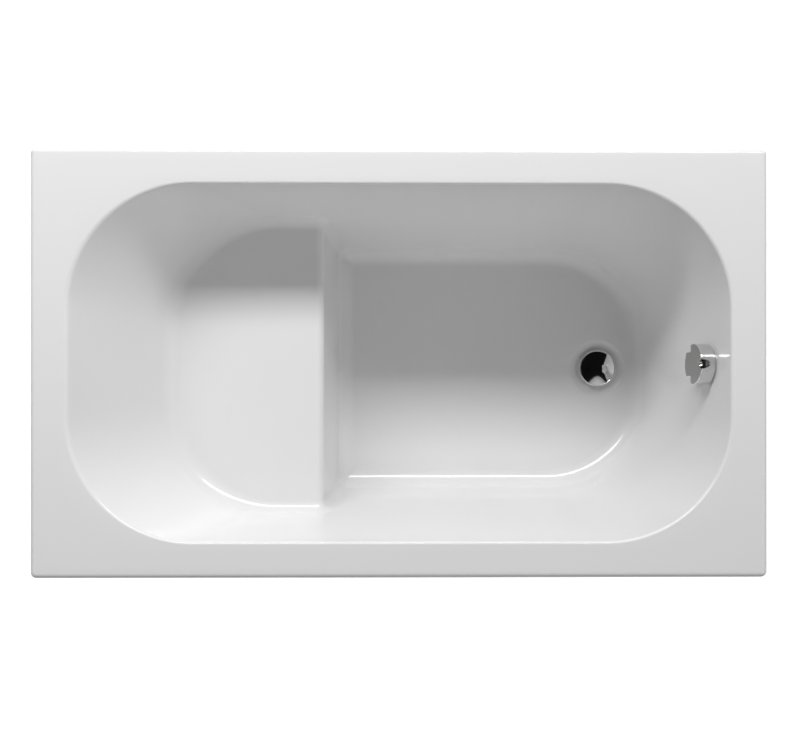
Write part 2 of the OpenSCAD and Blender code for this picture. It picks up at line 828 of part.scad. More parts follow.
module plug_cap() color("silver") at_drain() {
    intersection() {
        translate([0, 0, cap_z + cap_edge + cap_rise - plug_dome])
            sphere(r = plug_dome, $fn = 128);
        translate([0, 0, cap_z]) cylinder(d = plug_diameter, h = cap_edge + cap_rise + 1);
    }
}

module plug_seal() color("dimgray") at_drain() translate([0, 0, seal_z])
    ring_of(flange_diameter / 2 - 5, throat_radius + 2, plug_seal_height);

module plug_stem() color("silver") at_drain()
    difference() {
        translate([0, 0, neck_z + 1]) cylinder(d = stem_diameter, h = cap_z - neck_z - 1);
        translate([0, 0, neck_z]) cylinder(
            d = pin_diameter + 4 * running_play,
            h = pin_top_z + moving_gap - neck_z
        );
    }

module lift_pin() color("gold") at_drain() translate([0, 0, pin_base_z])
    cylinder(d = pin_diameter, h = pin_top_z - pin_base_z);

// Rocker at rest: its finger hangs half its swing below level
module rocker() color("gold")
    translate([drain_x + shaft_offset, 0, shaft_z]) rotate([0, -rocker_swing / 2, 0]) {
        translate([0, -finger_width / 2, 0]) rotate([-90, 0, 0])
            cylinder(d = rocker_shaft, h = crank_y + crank_width / 2 + finger_width / 2);
        translate([-finger_length, -finger_width / 2, -finger_thickness / 2])
            cube([finger_length, finger_width, finger_thickness]);
        translate([-finger_length, -finger_width / 2, 0]) rotate([-90, 0, 0])
            cylinder(r = finger_radius, h = finger_width);
        difference() {
            translate([-rocker_shaft / 2, crank_y - crank_width / 2, 0])
                cube([rocker_shaft, crank_width, crank_length + crank_width]);
            translate([-rocker_shaft, crank_y - slot_width / 2, crank_length - crank_width])
                cube([2 * rocker_shaft, slot_width, 3 * crank_width]);
        }
    }

module cable_wire() color("gray")
    translate([nipple_x, crank_y, wire_z]) rotate([0, 90, 0]) {
        cylinder(r = nipple_radius, h = nipple_length);
        translate([0, 0, nipple_length - 1])
            cylinder(r = wire_radius, h = cable_end_x + wire_tail - nipple_x - nipple_length + 1);
    }

// Angle that holds the end of the cable's sheath, seated against the drain body
module cable_bracket() color("whitesmoke")
    difference() {
        union() {
            translate([drain_x + bracket_x, crank_y - bracket_side / 2, wire_z - bracket_side / 2])
                cube([bracket_thickness, bracket_side, bracket_side]);
            translate([drain_x + cup_radius, crank_y - 2 * bracket_side, wire_z - bracket_side / 2])
                cube([bracket_x - cup_radius + bracket_thickness, 1.6 * bracket_side, bracket_side / 4]);
        }
        at_drain() translate([0, 0, wire_z - bracket_side])
            cylinder(r = cup_radius + body_wall, h = bracket_side);
        at_drain() translate([0, 0, hose_z]) rotate([0, 90, 0])
            cylinder(r = spigot_radius, h = lower_spigot_end);
        translate([drain_x + bracket_x - 1, crank_y, wire_z]) rotate([0, 90, 0])
            cylinder(r = wire_radius + wire_play, h = bracket_thickness + 2);
    }

module overflow_flange() color("silver") at_overflow()
    difference() {
        union() {
            cylinder(r = inner_flange_radius, h = inner_flange);
            translate([0, 0, body_front])
                cylinder(r = spindle_boss, h = inner_flange - body_front);
        }
        translate([0, 0, body_front - 1])
            cylinder(d = spindle_diameter + 2 * running_play, h = inner_flange - body_front + 2);
        for (y = [-post_spread, post_spread])
            translate([0, y, -1]) cylinder(r = screw_radius + 0.2, h = inner_flange + 2);
        for (x = [-inlet_hole_place, inlet_hole_place])
            translate([x, 0, -1]) cylinder(r = inlet_hole_radius, h = inner_flange + 2);
    }

module overflow_seal() color("dimgray") at_overflow()
    translate([0, 0, body_front])
        ring_of(body_radius - 1, overflow_hole / 2 + 1, overflow_seal_height);

module overflow_body() color("whitesmoke")
    difference() {
        union() {
            difference() {
                union() {
                    at_overflow() translate([0, 0, body_back])
                        cylinder(r = body_radius, h = overflow_body_depth);
                    translate([hose_x, 0, spigot_end_z])
                        cylinder(r = spigot_radius, h = spigot_length + spigot_root);
                    translate([hose_x, cable_y, gland_end_z])
                        cylinder(r = gland_radius, h = gland_length + 2 * spigot_root);
                }
                at_overflow() translate([0, 0, body_back + overflow_wall])
                    cylinder(r = body_radius - overflow_wall, h = overflow_body_depth);
            }
            at_overflow() for (y = [-post_spread, post_spread])
                translate([0, y, body_back + 1]) cylinder(r = post_radius, h = overflow_body_depth - 1);
        }
        translate([hose_x, 0, spigot_end_z - 1])
            cylinder(r = spigot_bore, h = spigot_length + 1.5 * spigot_root);
        translate([hose_x, cable_y, gland_end_z - 1])
            cylinder(r = wire_radius + wire_play, h = gland_length + 2 * spigot_root + 2);
        at_overflow() for (y = [-post_spread, post_spread])
            translate([0, y, body_front - 1.2 * screw_depth])
                cylinder(r = screw_radius + running_play, h = 1.2 * screw_depth + 1);
    }

module overflow_screws() color("silver") at_overflow()
    for (y = [-post_spread, post_spread]) translate([0, y, 0]) {
        translate([0, 0, body_front - screw_depth])
            cylinder(r = screw_radius, h = inner_flange - body_front + screw_depth);
        translate([0, 0, inner_flange]) cylinder(r = 2 * screw_radius, h = 2);
    }

module overflow_knob() color("silver") at_overflow()
    difference() {
        union() {
            difference() {
                rotate_extrude() polygon([
                    [0, knob_gap], [knob_radius, knob_gap], [knob_radius, knob_reach - knob_edge],
                    [knob_radius - knob_edge / 3, knob_reach - knob_edge / 3],
                    [knob_radius - knob_edge, knob_reach], [0, knob_reach]
                ]);
                translate([0, 0, knob_gap - 1])
                    cylinder(r = knob_radius - knob_wall, h = knob_skirt);
                translate([0, 0, knob_gap])
                    cylinder(r = 2 * inlet_back, h = knob_reach - knob_gap - knob_face);
            }
            translate([0, 0, 2 * knob_gap])
                cylinder(r = spindle_boss, h = knob_reach - 2 * knob_gap - 1);
        }
        cylinder(d = spindle_diameter + 2 * running_play, h = spindle_end + running_play);
        for (side = [0, 1]) mirror([0, side, 0])
            translate([-knob_radius - 1, inlet_side, knob_gap - 1])
                cube([knob_radius + 1 - inlet_back, knob_radius, knob_reach]);
        translate([knob_radius + dimple_offset, 0, knob_reach + dimple_offset])
            rotate_extrude($fn = 64) polygon([
                for (turn = [-90:7.5:90]) [dimple_radius * cos(turn), dimple_length * sin(turn)]
            ]);
    }

module knob_spindle() color("gold") at_overflow()
    translate([0, 0, body_back + overflow_wall + 1])
        cylinder(d = spindle_diameter, h = spindle_end - body_back - overflow_wall - 1);

module cable_cam() color("whitesmoke") at_overflow()
    translate([0, 0, body_back + overflow_wall + 3]) difference() {
        union() {
            cylinder(r = cam_radius, h = cam_height);
            cylinder(r = spindle_boss, h = cam_height + cam_boss);
        }
        translate([0, 0, -1])
            cylinder(d = spindle_diameter + 2 * running_play, h = cam_height + cam_boss + 2);
        translate([cam_radius - 3, 0, -1]) cylinder(r = wire_radius + wire_play, h = cam_height + 2);
    }

// Route down from the overflow, round a bend of radius r and along to the drain:
// its point and its direction at a distance along it
function route_point(s, drop, r) =
    let (bend = r * PI / 2, turn = (s - drop) / r * 180 / PI)
    s < drop ? [0, -s]
    : s < drop + bend ? [-r * (1 - cos(turn)), -drop - r * sin(turn)]
    : [-r - (s - drop - bend), -drop - r];
function route_turn(s, drop, r) = 90 * clamp((s - drop) / (r * PI / 2));

// Tube swept along a route: each ring is [distance, radius]
function route_rings(rings, drop, r, sides, from_y, to_y, whole_length) = [
    for (ring = rings)
        let (
            p = route_point(ring[0], drop, r),
            turn = route_turn(ring[0], drop, r),
            share = clamp((ring[0] / whole_length - 0.15) / 0.55),
            y = mix(from_y, to_y, share * share * (3 - 2 * share))
        )
        for (i = [0:sides - 1])
            let (angle = 360 * i / sides, out = ring[1] * cos(angle))
            [p.x + out * cos(turn), y + ring[1] * sin(angle), p.y - out * sin(turn)]
];

module closed_tube(points, sides) {
    count = len(points) / sides;
    polyhedron(
        points = points,
        faces = concat(
            [[for (i = [sides - 1:-1:0]) i]],
            [[for (i = [0:sides - 1]) (count - 1) * sides + i]],
            [
                for (k = [0:count - 2]) for (i = [0:sides - 1]) for (half = [0, 1])
                    let (
                        a = k * sides + i,
                        b = k * sides + (i + 1) % sides,
                        c = b + sides,
                        d = a + sides
                    )
                    half == 0 ? [a, b, c] : [a, c, d]
            ]
        ),
        convexity = 6
    );
}

module overflow_hose() color("whitesmoke")
    translate([hose_x, 0, spigot_end_z]) difference() {
        closed_tube(route_rings(
            concat(
                [[0, hose_valley]],
                [
                    for (i = [0:rib_count - 1]) each [
                        [rib_start + i * rib_pitch, hose_valley],
                        [rib_start + (i + 0.5) * rib_pitch, hose_diameter / 2]
                    ]
                ],
                [[rib_start + rib_count * rib_pitch, hose_valley], [hose_length, hose_valley]]
            ),
            hose_drop, hose_bend, tube_sides, 0, 0, hose_length
        ), tube_sides);
        closed_tube(route_rings(
            [
                [-1, hose_bore / 2],
                for (i = [0:12]) [mix(hose_drop, hose_length, i / 12), hose_bore / 2],
                [hose_length + 1, hose_bore / 2]
            ],
            hose_drop, hose_bend, tube_sides, 0, 0, hose_length
        ), tube_sides);
    }

module control_cable() color("black")
    difference() {
        translate([hose_x, 0, gland_end_z]) closed_tube(route_rings(
            [for (i = [0:40]) [cable_length * i / 40, cable_diameter / 2]],
            cable_drop, cable_bend, tube_sides, cable_y, crank_y, cable_length
        ), tube_sides);
        translate([cable_end_x - 1, crank_y, wire_z]) rotate([0, 90, 0])
            cylinder(r = wire_radius + wire_play, h = 2 * wire_tail);
    }

module cable_clips() color("dimgray")
    translate([hose_x, 0, spigot_end_z - hose_diameter]) difference() {
        union() {
            cylinder(r = hose_diameter / 2 + clip_wall, h = clip_height);
            translate([0, cable_y, 0]) cylinder(r = cable_diameter / 2 + clip_wall, h = clip_height);
            translate([-clip_wall, 0, 0]) cube([2 * clip_wall, cable_y, clip_height]);
        }
        translate([0, 0, -1]) cylinder(r = hose_diameter / 2 + running_play, h = clip_height + 2);
        translate([0, cable_y, -1]) cylinder(r = cable_diameter / 2 + nut_play, h = clip_height + 2);
    }

// Union nut that draws a hose end over its spigot, open end at z = 0
module hose_nut() {
    rotate_extrude() polygon([
        [hose_diameter / 2 + nut_play, 0], [hose_diameter / 2 + nut_wall, 0],
        [hose_diameter / 2 + nut_wall, nut_grip], [spigot_radius + nut_play, nut_grip],
        [spigot_radius + nut_play, nut_grip - nut_collar],
        [hose_diameter / 2 + nut_play, nut_grip - nut_collar - 1]
    ]);
    nut_ribs(hose_diameter / 2 + nut_wall, nut_grip);
}

// Twelve grip ribs round a nut of a radius, from just above its end to just below its top
module nut_ribs(radius, height)
    for (angle = [0:30:330]) rotate([0, 0, angle])
        translate([radius - 1, -grip_rib / 2, 1]) cube([grip_rib, grip_rib, height - 2]);

module hose_nut_upper() color("white")
    translate([hose_x, 0, spigot_end_z - hose_grip]) hose_nut();

module hose_nut_lower() color("white")
    translate([drain_x + lower_spigot_end + hose_grip, 0, hose_z])
        rotate([0, -90, 0]) hose_nut();

// Union nut with a collar over a pipe of one radius and a threaded bore of another
module union_nut(thread, neck) {
    rotate_extrude() polygon([
        [neck + nut_play, 0], [thread + nut_wall, 0], [thread + nut_wall, union_height],
        [thread + nut_play, union_height], [thread + nut_play, nut_collar],
        [neck + nut_play, nut_collar]
    ]);
    nut_ribs(thread + nut_wall, union_height);
}

module trap_nut() color("white") at_drain()
    translate([0, 0, trap_top_z - inlet_flange_height - nut_collar])
        union_nut(outlet_radius + outlet_wall, inlet_radius);

module trap_seal() color("dimgray") at_drain() translate([0, 0, trap_top_z])
    ring_of(outlet_radius + outlet_wall, inlet_radius, trap_seal_height);

// Chamber with the inlet tube hanging inside it and the outlet socket on its side
module trap_body() color("white") at_drain()
    difference() {
        union() {
            rotate_extrude() polygon([
                [0, chamber_z], [trap_radius, chamber_z], [trap_radius, chamber_top_z - trap_wall],
                [trap_radius - trap_wall, chamber_top_z - 1], [inlet_radius, chamber_top_z - 1],
                [inlet_radius, trap_top_z - inlet_flange_height],
                [outlet_radius + outlet_wall, trap_top_z - inlet_flange_height],
                [outlet_radius + outlet_wall, trap_top_z], [0, trap_top_z]
            ]);
            translate([0, 0, pipe_z]) rotate([-90, 0, 0])
                cylinder(r = pipe_radius + socket_wall, h = socket_reach);
        }
        difference() {
            union() {
                translate([0, 0, chamber_z - 1])
                    cylinder(r = trap_radius - trap_wall, h = chamber_top_z - trap_wall - chamber_z);
                translate([0, 0, pipe_z]) rotate([-90, 0, 0])
                    cylinder(r = pipe_radius + running_play, h = socket_reach + 1);
            }
            cylinder(r = inlet_radius, h = trap_top_z);
        }
        translate([0, 0, chamber_z - 1])
            cylinder(r = inlet_radius - inlet_wall, h = trap_top_z - chamber_z + 2);
    }

module trap_cup_seal() color("dimgray") at_drain() translate([0, 0, chamber_z - cup_seal_height])
    ring_of(trap_radius, trap_radius - trap_wall, cup_seal_height);

module trap_cup() color("white") at_drain() {
    top = trap_cup_height + cup_seal_height + cup_lap;
    skirt = trap_radius + nut_play;
    translate([0, 0, trap_cup_z]) rotate_extrude() polygon([
        [0, 0], [trap_radius - 2 * trap_wall, 0], [trap_radius, trap_wall],
        [trap_radius, trap_cup_height - cup_lap], [skirt + trap_wall, trap_cup_height - cup_lap],
        [skirt + trap_wall, top], [skirt, top], [skirt, trap_cup_height],
        [trap_radius - trap_wall, trap_cup_height], [trap_radius - trap_wall, 2 * trap_wall],
        [trap_radius - 2 * trap_wall, trap_wall], [0, trap_wall]
    ]);
}

module at_outlet(y) {
    translate([drain_x, y, pipe_z]) rotate([-90, 0, 0]) children();
}

module outlet_seal() color("dimgray") at_outlet(socket_reach)
    ring_of(pipe_radius + socket_wall, pipe_radius, outlet_seal_height);

module outlet_nut() color("white")
    at_outlet(socket_reach + outlet_seal_height + nut_collar) rotate([180, 0, 0])
        union_nut(pipe_radius + socket_wall, pipe_radius);

// Plain pipe with the shallow groove that marks how deep it goes into its socket
module waste_pipe() color("white")
    difference() {
        at_outlet(pipe_start) cylinder(r = pipe_radius, h = pipe_reach - pipe_start);
        at_outlet(0) cylinder(r = pipe_radius - pipe_wall, h = pipe_reach + 1);
        at_outlet(depth_mark)
            ring_of(pipe_radius + 1, pipe_radius - mark_depth, mark_width);
    }

bath_shell();
base_board();
seat_board();
side_batten(-1);  // batten_front
side_batten(1);  // batten_back
end_batten(1);  // batten_drain_end
end_batten(-1);  // batten_back_end
cross_rail(back_rail);  // cross_rail_back
cross_rail(drain_rail);  // cross_rail_drain
seat_frame();
leg_inserts();
rail_caps();
rail_screws();
lock_nuts();
for (i = [0:5]) {
    foot_stud(i);
    foot_pad(i);
}
drain_flange();
drain_seal_upper();
drain_seal_lower();
drain_body();
plug_cap();
plug_seal();
plug_stem();
lift_pin();
rocker();
cable_wire();
cable_bracket();
overflow_flange();
overflow_seal();
overflow_body();
overflow_screws();
overflow_knob();
knob_spindle();
cable_cam();
control_cable();
cable_clips();
overflow_hose();
hose_nut_upper();
hose_nut_lower();
trap_nut();
trap_seal();
trap_body();
trap_cup();
trap_cup_seal();
outlet_nut();
outlet_seal();
waste_pipe();
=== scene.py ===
import math
import bmesh
import bpy
import numpy as np
from mathutils import Matrix, Vector


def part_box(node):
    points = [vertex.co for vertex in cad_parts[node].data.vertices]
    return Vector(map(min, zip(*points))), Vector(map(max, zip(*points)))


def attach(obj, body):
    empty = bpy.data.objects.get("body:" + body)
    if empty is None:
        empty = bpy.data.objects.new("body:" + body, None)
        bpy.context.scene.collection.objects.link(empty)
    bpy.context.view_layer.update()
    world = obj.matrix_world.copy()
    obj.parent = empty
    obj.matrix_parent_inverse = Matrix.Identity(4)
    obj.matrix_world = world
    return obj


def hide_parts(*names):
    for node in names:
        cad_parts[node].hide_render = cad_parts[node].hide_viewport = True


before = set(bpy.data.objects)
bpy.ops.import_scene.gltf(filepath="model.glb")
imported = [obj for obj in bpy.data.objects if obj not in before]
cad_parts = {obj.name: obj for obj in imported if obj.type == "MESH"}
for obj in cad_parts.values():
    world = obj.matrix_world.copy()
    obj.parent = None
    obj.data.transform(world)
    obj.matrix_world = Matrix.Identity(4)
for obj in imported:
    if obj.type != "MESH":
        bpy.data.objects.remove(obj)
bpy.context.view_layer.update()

rim_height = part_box("bath_shell")[1].z * 1000

# The camera hangs almost straight above the bath and looks down at it. Its lens is shifted a
# little, as on a view camera, so that both long sides stay parallel in the picture.
camera_height = 1.85
camera_place = (-0.0217, -0.049, rim_height / 1000 + camera_height)
camera_lean = math.radians(-0.67)

# Width of the picture in points, millimetres that one point covers at the rim's height, and rows
# between the picture's middle and the lens's axis
image_width = 800
rim_mm_per_point = 1.623
axis_rows = 28

camera_data = bpy.data.cameras.new("camera")
camera_data.sensor_width = 36
camera_data.lens = (
    camera_height * 1000 / rim_mm_per_point / image_width * camera_data.sensor_width
)
camera_data.shift_y = axis_rows / image_width
camera = bpy.data.objects.new("camera", camera_data)
camera.location = camera_place
camera.rotation_euler = (0, camera_lean, 0)
scene = bpy.context.scene
scene.collection.objects.link(camera)
scene.camera = camera
scene.view_settings.view_transform = "Standard"


# The key is a long, narrow strip of soft light, half way up beyond the bath's far side and toward
# the seat's end. It draws the thin highlights along the near fillets and leaves the far wall in shade.
def soft_light(name, place, target, width, height, watts):
    """Adds a rectangular lamp at a place, in metres, that faces a target point."""
    data = bpy.data.lights.new(name, "AREA")
    data.shape = "RECTANGLE"
    data.size = width
    data.size_y = height
    data.energy = watts
    lamp = bpy.data.objects.new(name, data)
    lamp.location = place
    aim = Vector(target) - Vector(place)
    lamp.rotation_euler = aim.to_track_quat("-Z", "Y").to_euler()
    scene.collection.objects.link(lamp)


key_distance = 3.0
key_elevation = math.radians(44.6)
key_target = (-0.48, 0, 0.45)
key_place = (
    key_target[0],
    key_distance * math.cos(key_elevation),
    key_target[2] + key_distance * math.sin(key_elevation),
)
key_width = 4.1
key_height = 0.56
key_watts = 89
soft_light("key", key_place, key_target, key_width, key_height, key_watts)


# The room is lit from its sides: brightly from the far and the near side, less from the drain's end
# and hardly from the seat's. The ceiling straight above is black, which is what the plug mirrors.
def node(tree, kind, settings=None, links=None):
    """Adds a shader node of a kind, with its settings, and links its inputs.

    A link's source is a socket, or a node whose first output is meant.
    """
    made = tree.nodes.new(kind)
    for name, value in (settings or {}).items():
        if isinstance(name, int) or name in made.inputs:
            made.inputs[name].default_value = value
        else:
            setattr(made, name, value)
    for name, source in (links or {}).items():
        socket = source if isinstance(source, bpy.types.NodeSocket) else source.outputs[0]
        tree.links.new(socket, made.inputs[name])
    return made


world = bpy.data.worlds.new("studio")
scene.world = world
world.use_nodes = True
tree = world.node_tree
tree.nodes.clear()
direction = node(tree, "ShaderNodeTexCoord")
split = node(tree, "ShaderNodeSeparateXYZ", links={"Vector": direction.outputs["Generated"]})
up = split.outputs["Z"]

# How bright the room is toward each side, at each sine of the height above the horizon
room_heights = (0.0, 0.25, 0.54, 0.74, 0.82, 0.88, 0.905, 0.93)
room_sides = (
    ("X", 1, (0.42, 0.42, 0.32, 0.56, 0.45, 0.25, 0.12, 0.004)),
    ("X", -1, (0.02, 0.02, 0.10, 0.25, 0.004, 0.004, 0.004, 0.004)),
    ("Y", 1, (0.80, 0.80, 0.55, 0.50, 0.08, 0.08, 0.08, 0.004)),
    ("Y", -1, (0.02, 0.35, 0.66, 0.88, 0.62, 0.50, 0.34, 0.004)),
)

# Each side lights a direction by the squared cosine of the level angle between the two; the guard
# keeps the zenith's share finite
zenith_guard = 0.0001
risen = node(tree, "ShaderNodeMath", {"operation": "MULTIPLY"}, {0: up, 1: up})
level = node(tree, "ShaderNodeMath", {"operation": "SUBTRACT", 0: 1 + zenith_guard}, {1: risen})
glows = []
for axis, sign, brightnesses in room_sides:
    ramp = node(tree, "ShaderNodeValToRGB", links={"Fac": up})
    stops = ramp.color_ramp.elements
    for height in room_heights[2:]:
        stops.new(height)
    for stop, height, bright in zip(stops, room_heights, brightnesses):
        stop.position = height
        stop.color = (bright, bright, bright, 1)
    toward = node(tree, "ShaderNodeMath", {"operation": "MULTIPLY", 1: sign}, {0: split.outputs[axis]})
    facing = node(tree, "ShaderNodeMath", {"operation": "MAXIMUM", 1: 0.0}, {0: toward})
    square = node(tree, "ShaderNodeMath", {"operation": "MULTIPLY"}, {0: facing, 1: facing})
    share = node(tree, "ShaderNodeMath", {"operation": "DIVIDE"}, {0: square, 1: level})
    glows.append(node(tree, "ShaderNodeMath", {"operation": "MULTIPLY"}, {0: share, 1: ramp}))

# A soft grey card hangs beyond the camera, toward the near side. It is an ellipse on the ceiling,
# given by the middle and half size of its tangents from the zenith toward X and Y, and it is
# brighter toward its middle. It shows as a low arch in the plug.
card_middle = (0.176, -0.235)
card_half = (0.28, 0.082)
card_edge = 0.2
card_rise = 0.35
card_sharpness = 12.0
card_lowest = 0.5
squares = []
for axis, middle, half in zip("XY", card_middle, card_half):
    tangent = node(tree, "ShaderNodeMath", {"operation": "DIVIDE"}, {0: split.outputs[axis], 1: up})
    across = node(tree, "ShaderNodeMath", {
        "operation": "MULTIPLY_ADD", 1: 1 / half, 2: -middle / half,
    }, {0: tangent})
    squares.append(node(tree, "ShaderNodeMath", {"operation": "MULTIPLY"}, {0: across, 1: across}))
far = node(tree, "ShaderNodeMath", {"operation": "ADD"}, {0: squares[0], 1: squares[1]})
near = node(tree, "ShaderNodeMath", {"operation": "SUBTRACT", 0: 1.0}, {1: far})
near = node(tree, "ShaderNodeMath", {"operation": "MAXIMUM", 1: 0.0}, {0: near})
above = node(tree, "ShaderNodeMath", {"operation": "GREATER_THAN", 1: card_lowest}, {0: up})
within = node(tree, "ShaderNodeMath", {"operation": "MULTIPLY"}, {0: near, 1: above})
border = node(tree, "ShaderNodeMath", {"operation": "MULTIPLY", 1: card_sharpness}, {0: within})
border = node(tree, "ShaderNodeMath", {"operation": "MINIMUM", 1: card_edge}, {0: border})
glows.append(node(tree, "ShaderNodeMath", {"operation": "MULTIPLY_ADD", 1: card_rise}, {
    0: within, 2: border,
}))

room = glows[0]
for glow in glows[1:]:
    room = node(tree, "ShaderNodeMath", {"operation": "ADD"}, {0: room, 1: glow})
surround = node(tree, "ShaderNodeBackground", {"Color": (1, 1, 1, 1)}, {"Strength": room})
seen = node(tree, "ShaderNodeBackground", {"Color": (1, 1, 1, 1), "Strength": 1.0})
path = node(tree, "ShaderNodeLightPath")
seen_by = node(tree, "ShaderNodeMath", {"operation": "MAXIMUM"}, {
    0: path.outputs["Is Camera Ray"], 1: path.outputs["Is Transmission Ray"],
})
choice = node(tree, "ShaderNodeMixShader", links={0: seen_by, 1: surround, 2: seen})
node(tree, "ShaderNodeOutputWorld", links={"Surface": choice})


# The floor is a seamless white sweep. Its own glow keeps it white in the picture and in metal, and
# its paint keeps the bath's shadow; the bath itself is lit as from a greyer floor.
def linear(hex_colour):
    """Turns an sRGB colour written as rrggbb into the linear RGBA that shaders take."""
    channels = [int(hex_colour[i:i + 2], 16) / 255 for i in (0, 2, 4)]
    return [c / 12.92 if c <= 0.04045 else ((c + 0.055) / 1.055) ** 2.4 for c in channels] + [1]


floor_half = 12.0
floor_mesh = bpy.data.meshes.new("studio_floor")
floor_mesh.from_pydata(
    [(x * floor_half, y * floor_half, 0) for x, y in ((-1, -1), (1, -1), (1, 1), (-1, 1))],
    [], [(0, 1, 2, 3)],
)
floor = bpy.data.objects.new("studio_floor", floor_mesh)
scene.collection.objects.link(floor)
floor_paint = bpy.data.materials.new("white_sweep")
floor_paint.use_nodes = True
tree = floor_paint.node_tree
tree.nodes.clear()
matt = node(tree, "ShaderNodeBsdfDiffuse", {"Color": linear("e6e6e6")})
glow = node(tree, "ShaderNodeEmission", {"Color": (1, 1, 1, 1), "Strength": 0.9})
both = node(tree, "ShaderNodeAddShader", links={0: matt, 1: glow})
path = node(tree, "ShaderNodeLightPath")
seen_by = node(tree, "ShaderNodeMath", {"operation": "MAXIMUM"}, {
    0: path.outputs["Is Camera Ray"], 1: path.outputs["Is Glossy Ray"],
})
seen_by = node(tree, "ShaderNodeMath", {"operation": "MAXIMUM"}, {
    0: seen_by, 1: path.outputs["Is Transmission Ray"],
})
grey = node(tree, "ShaderNodeBsdfDiffuse", {"Color": linear("898989")})
choice = node(tree, "ShaderNodeMixShader", links={0: seen_by, 1: grey, 2: both})
node(tree, "ShaderNodeOutputMaterial", links={"Surface": choice})
floor_mesh.materials.append(floor_paint)


# The bath shell is one sheet of cast acrylic, drawn down into a mould by vacuum and backed with
# sprayed glassfibre. Inside it is glossy, and every corner is the mould's fillet. Sizes are in
# millimetres; depths run down from the rim.
shell_low, shell_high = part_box("bath_shell")
bath_length = (shell_high.x - shell_low.x) * 1000
bath_width = (shell_high.y - shell_low.y) * 1000
end_deck = 60
side_deck = 60
opening_radius = 203
lip_height = 38
shell_thickness = 5
outer_corner = 10
well_depth = 400
seat_depth = 195
seat_reach = 464
seat_front_x = -bath_length / 2 + seat_reach
backrest_slope = math.tan(math.radians(33.7))
side_slope = math.tan(math.radians(8.8))
side_land = 9
drain_end_slope = math.tan(math.radians(8.8))
riser_slope = math.tan(math.radians(6.4))
floor_corner = 185
seat_fillet = 20
floor_fillet = 30
seat_edge = 12
rim_roll = 5
deck_edge = 9
back_x = -bath_length / 2 + end_deck
drain_end_x = bath_length / 2 - end_deck
opening_half = bath_width / 2 - side_deck
radius_taper = (opening_radius - floor_corner) / well_depth
drain_setback = 206
drain_x = bath_length / 2 - drain_setback
dish_radius = 57
dish_flat = 39
dish_depth = 7
drain_hole = 26
drain_floor_radii = (34, 29, drain_hole)
boss_radius = 63
boss_radii = (drain_hole, 40, boss_radius - 1)


def fillet(a, b, r):
    """Distance into the space left by two walls, with a concave fillet of radius r between them."""
    rounded = r - np.hypot(r - a, r - b)
    return np.where((a < r) & (b < r), rounded, np.minimum(a, b))


def round_edge(a, b, r):
    """Distance into the space on either side of an edge that is rounded to radius r."""
    rounded = np.hypot(r + a, r + b) - r
    return np.where((a > -r) & (b > -r), rounded, np.maximum(a, b))


def half_at(depth):
    """Half width of the opening at a depth: an upright band, then the lean of the side walls."""
    return opening_half - np.maximum(depth - side_land, 0) * side_slope


def wall_gap(x, y, depth):
    """Distance inside a rounded rectangle whose sides lean in with depth, square to its walls."""
    low = back_x + depth * backrest_slope
    high = drain_end_x - depth * drain_end_slope
    radius = opening_radius - depth * radius_taper
    over_x = np.abs(x - (low + high) / 2) - (high - low) / 2 + radius
    over_y = np.abs(y) - half_at(depth) + radius
    corner = (over_x > 0) & (over_y > 0)
    reach = np.where(corner, np.hypot(over_x, over_y), np.maximum(over_x, over_y))
    flat_share = np.where(over_x > over_y, 1.0, 0.0)
    end_share = np.where(corner, over_x / np.where(corner, reach, 1), flat_share)
    end_slope = np.where(x < (low + high) / 2, backrest_slope, drain_end_slope)
    slope = end_share * end_slope + np.sqrt(1 - end_share ** 2) * side_slope
    return (radius - reach) / np.sqrt(1 + slope ** 2)


def bath_gap(x, y, depth):
    """Above zero in the water space: the seat's step, the walls and the floor, all blended."""
    riser = x - seat_front_x - (depth - seat_depth) * riser_slope
    riser = riser / math.sqrt(1 + riser_slope ** 2)
    step = round_edge(seat_depth - depth, riser, seat_edge)
    walls = fillet(step, wall_gap(x, y, depth), seat_fillet)
    bowl = fillet(walls, well_depth - depth, floor_fillet)
    return round_edge(bowl, -depth, rim_roll)


halvings = 40


def surface_depth(x, y):
    """Depth at which the gap is zero over each plan point, by halving an interval."""
    low = np.zeros_like(x)
    high = np.full_like(x, well_depth)
    for _ in range(halvings):
        middle = (low + high) / 2
        inside = bath_gap(x, y, middle) > 0
        low = np.where(inside, middle, low)
        high = np.where(inside, high, middle)
    return (low + high) / 2


def surface_normal(x, y, depth, step=0.05):
    """Unit normal into the water space, from central differences of the gap."""
    slope = np.stack([
        bath_gap(x + step, y, depth) - bath_gap(x - step, y, depth),
        bath_gap(x, y + step, depth) - bath_gap(x, y - step, depth),
        bath_gap(x, y, depth - step) - bath_gap(x, y, depth + step),
    ], axis=-1)
    return slope / np.linalg.norm(slope, axis=-1, keepdims=True)


# Points along a half outline: drain end, its corner, long wall, wall beside the seat, its
# corner and the back end. The power crowds those beside the seat toward its front edge.
outline_steps = (10, 40, 44, 32, 36, 14)
seat_crowding = 1.4


def arc(cx, cy, rx, ry, start, steps):
    """Quarter arc from a start angle, without its last point."""
    angle = np.radians(start + 90 * np.arange(steps) / steps)
    return np.stack([cx + rx * np.cos(angle), cy + ry * np.sin(angle)], axis=-1)


def line(x0, y0, x1, y1, steps, power=1.0, last=False):
    """Straight run of points, without its last point unless it is asked for."""
    t = ((np.arange(steps + last) / steps) ** power)[:, None]
    return np.array([[x0, y0]]) * (1 - t) + np.array([[x1, y1]]) * t


def whole(half):
    """Closed outline from its half, mirrored in the bath's middle plane."""
    return np.concatenate([half, half[-2:0:-1] * [1, -1]])


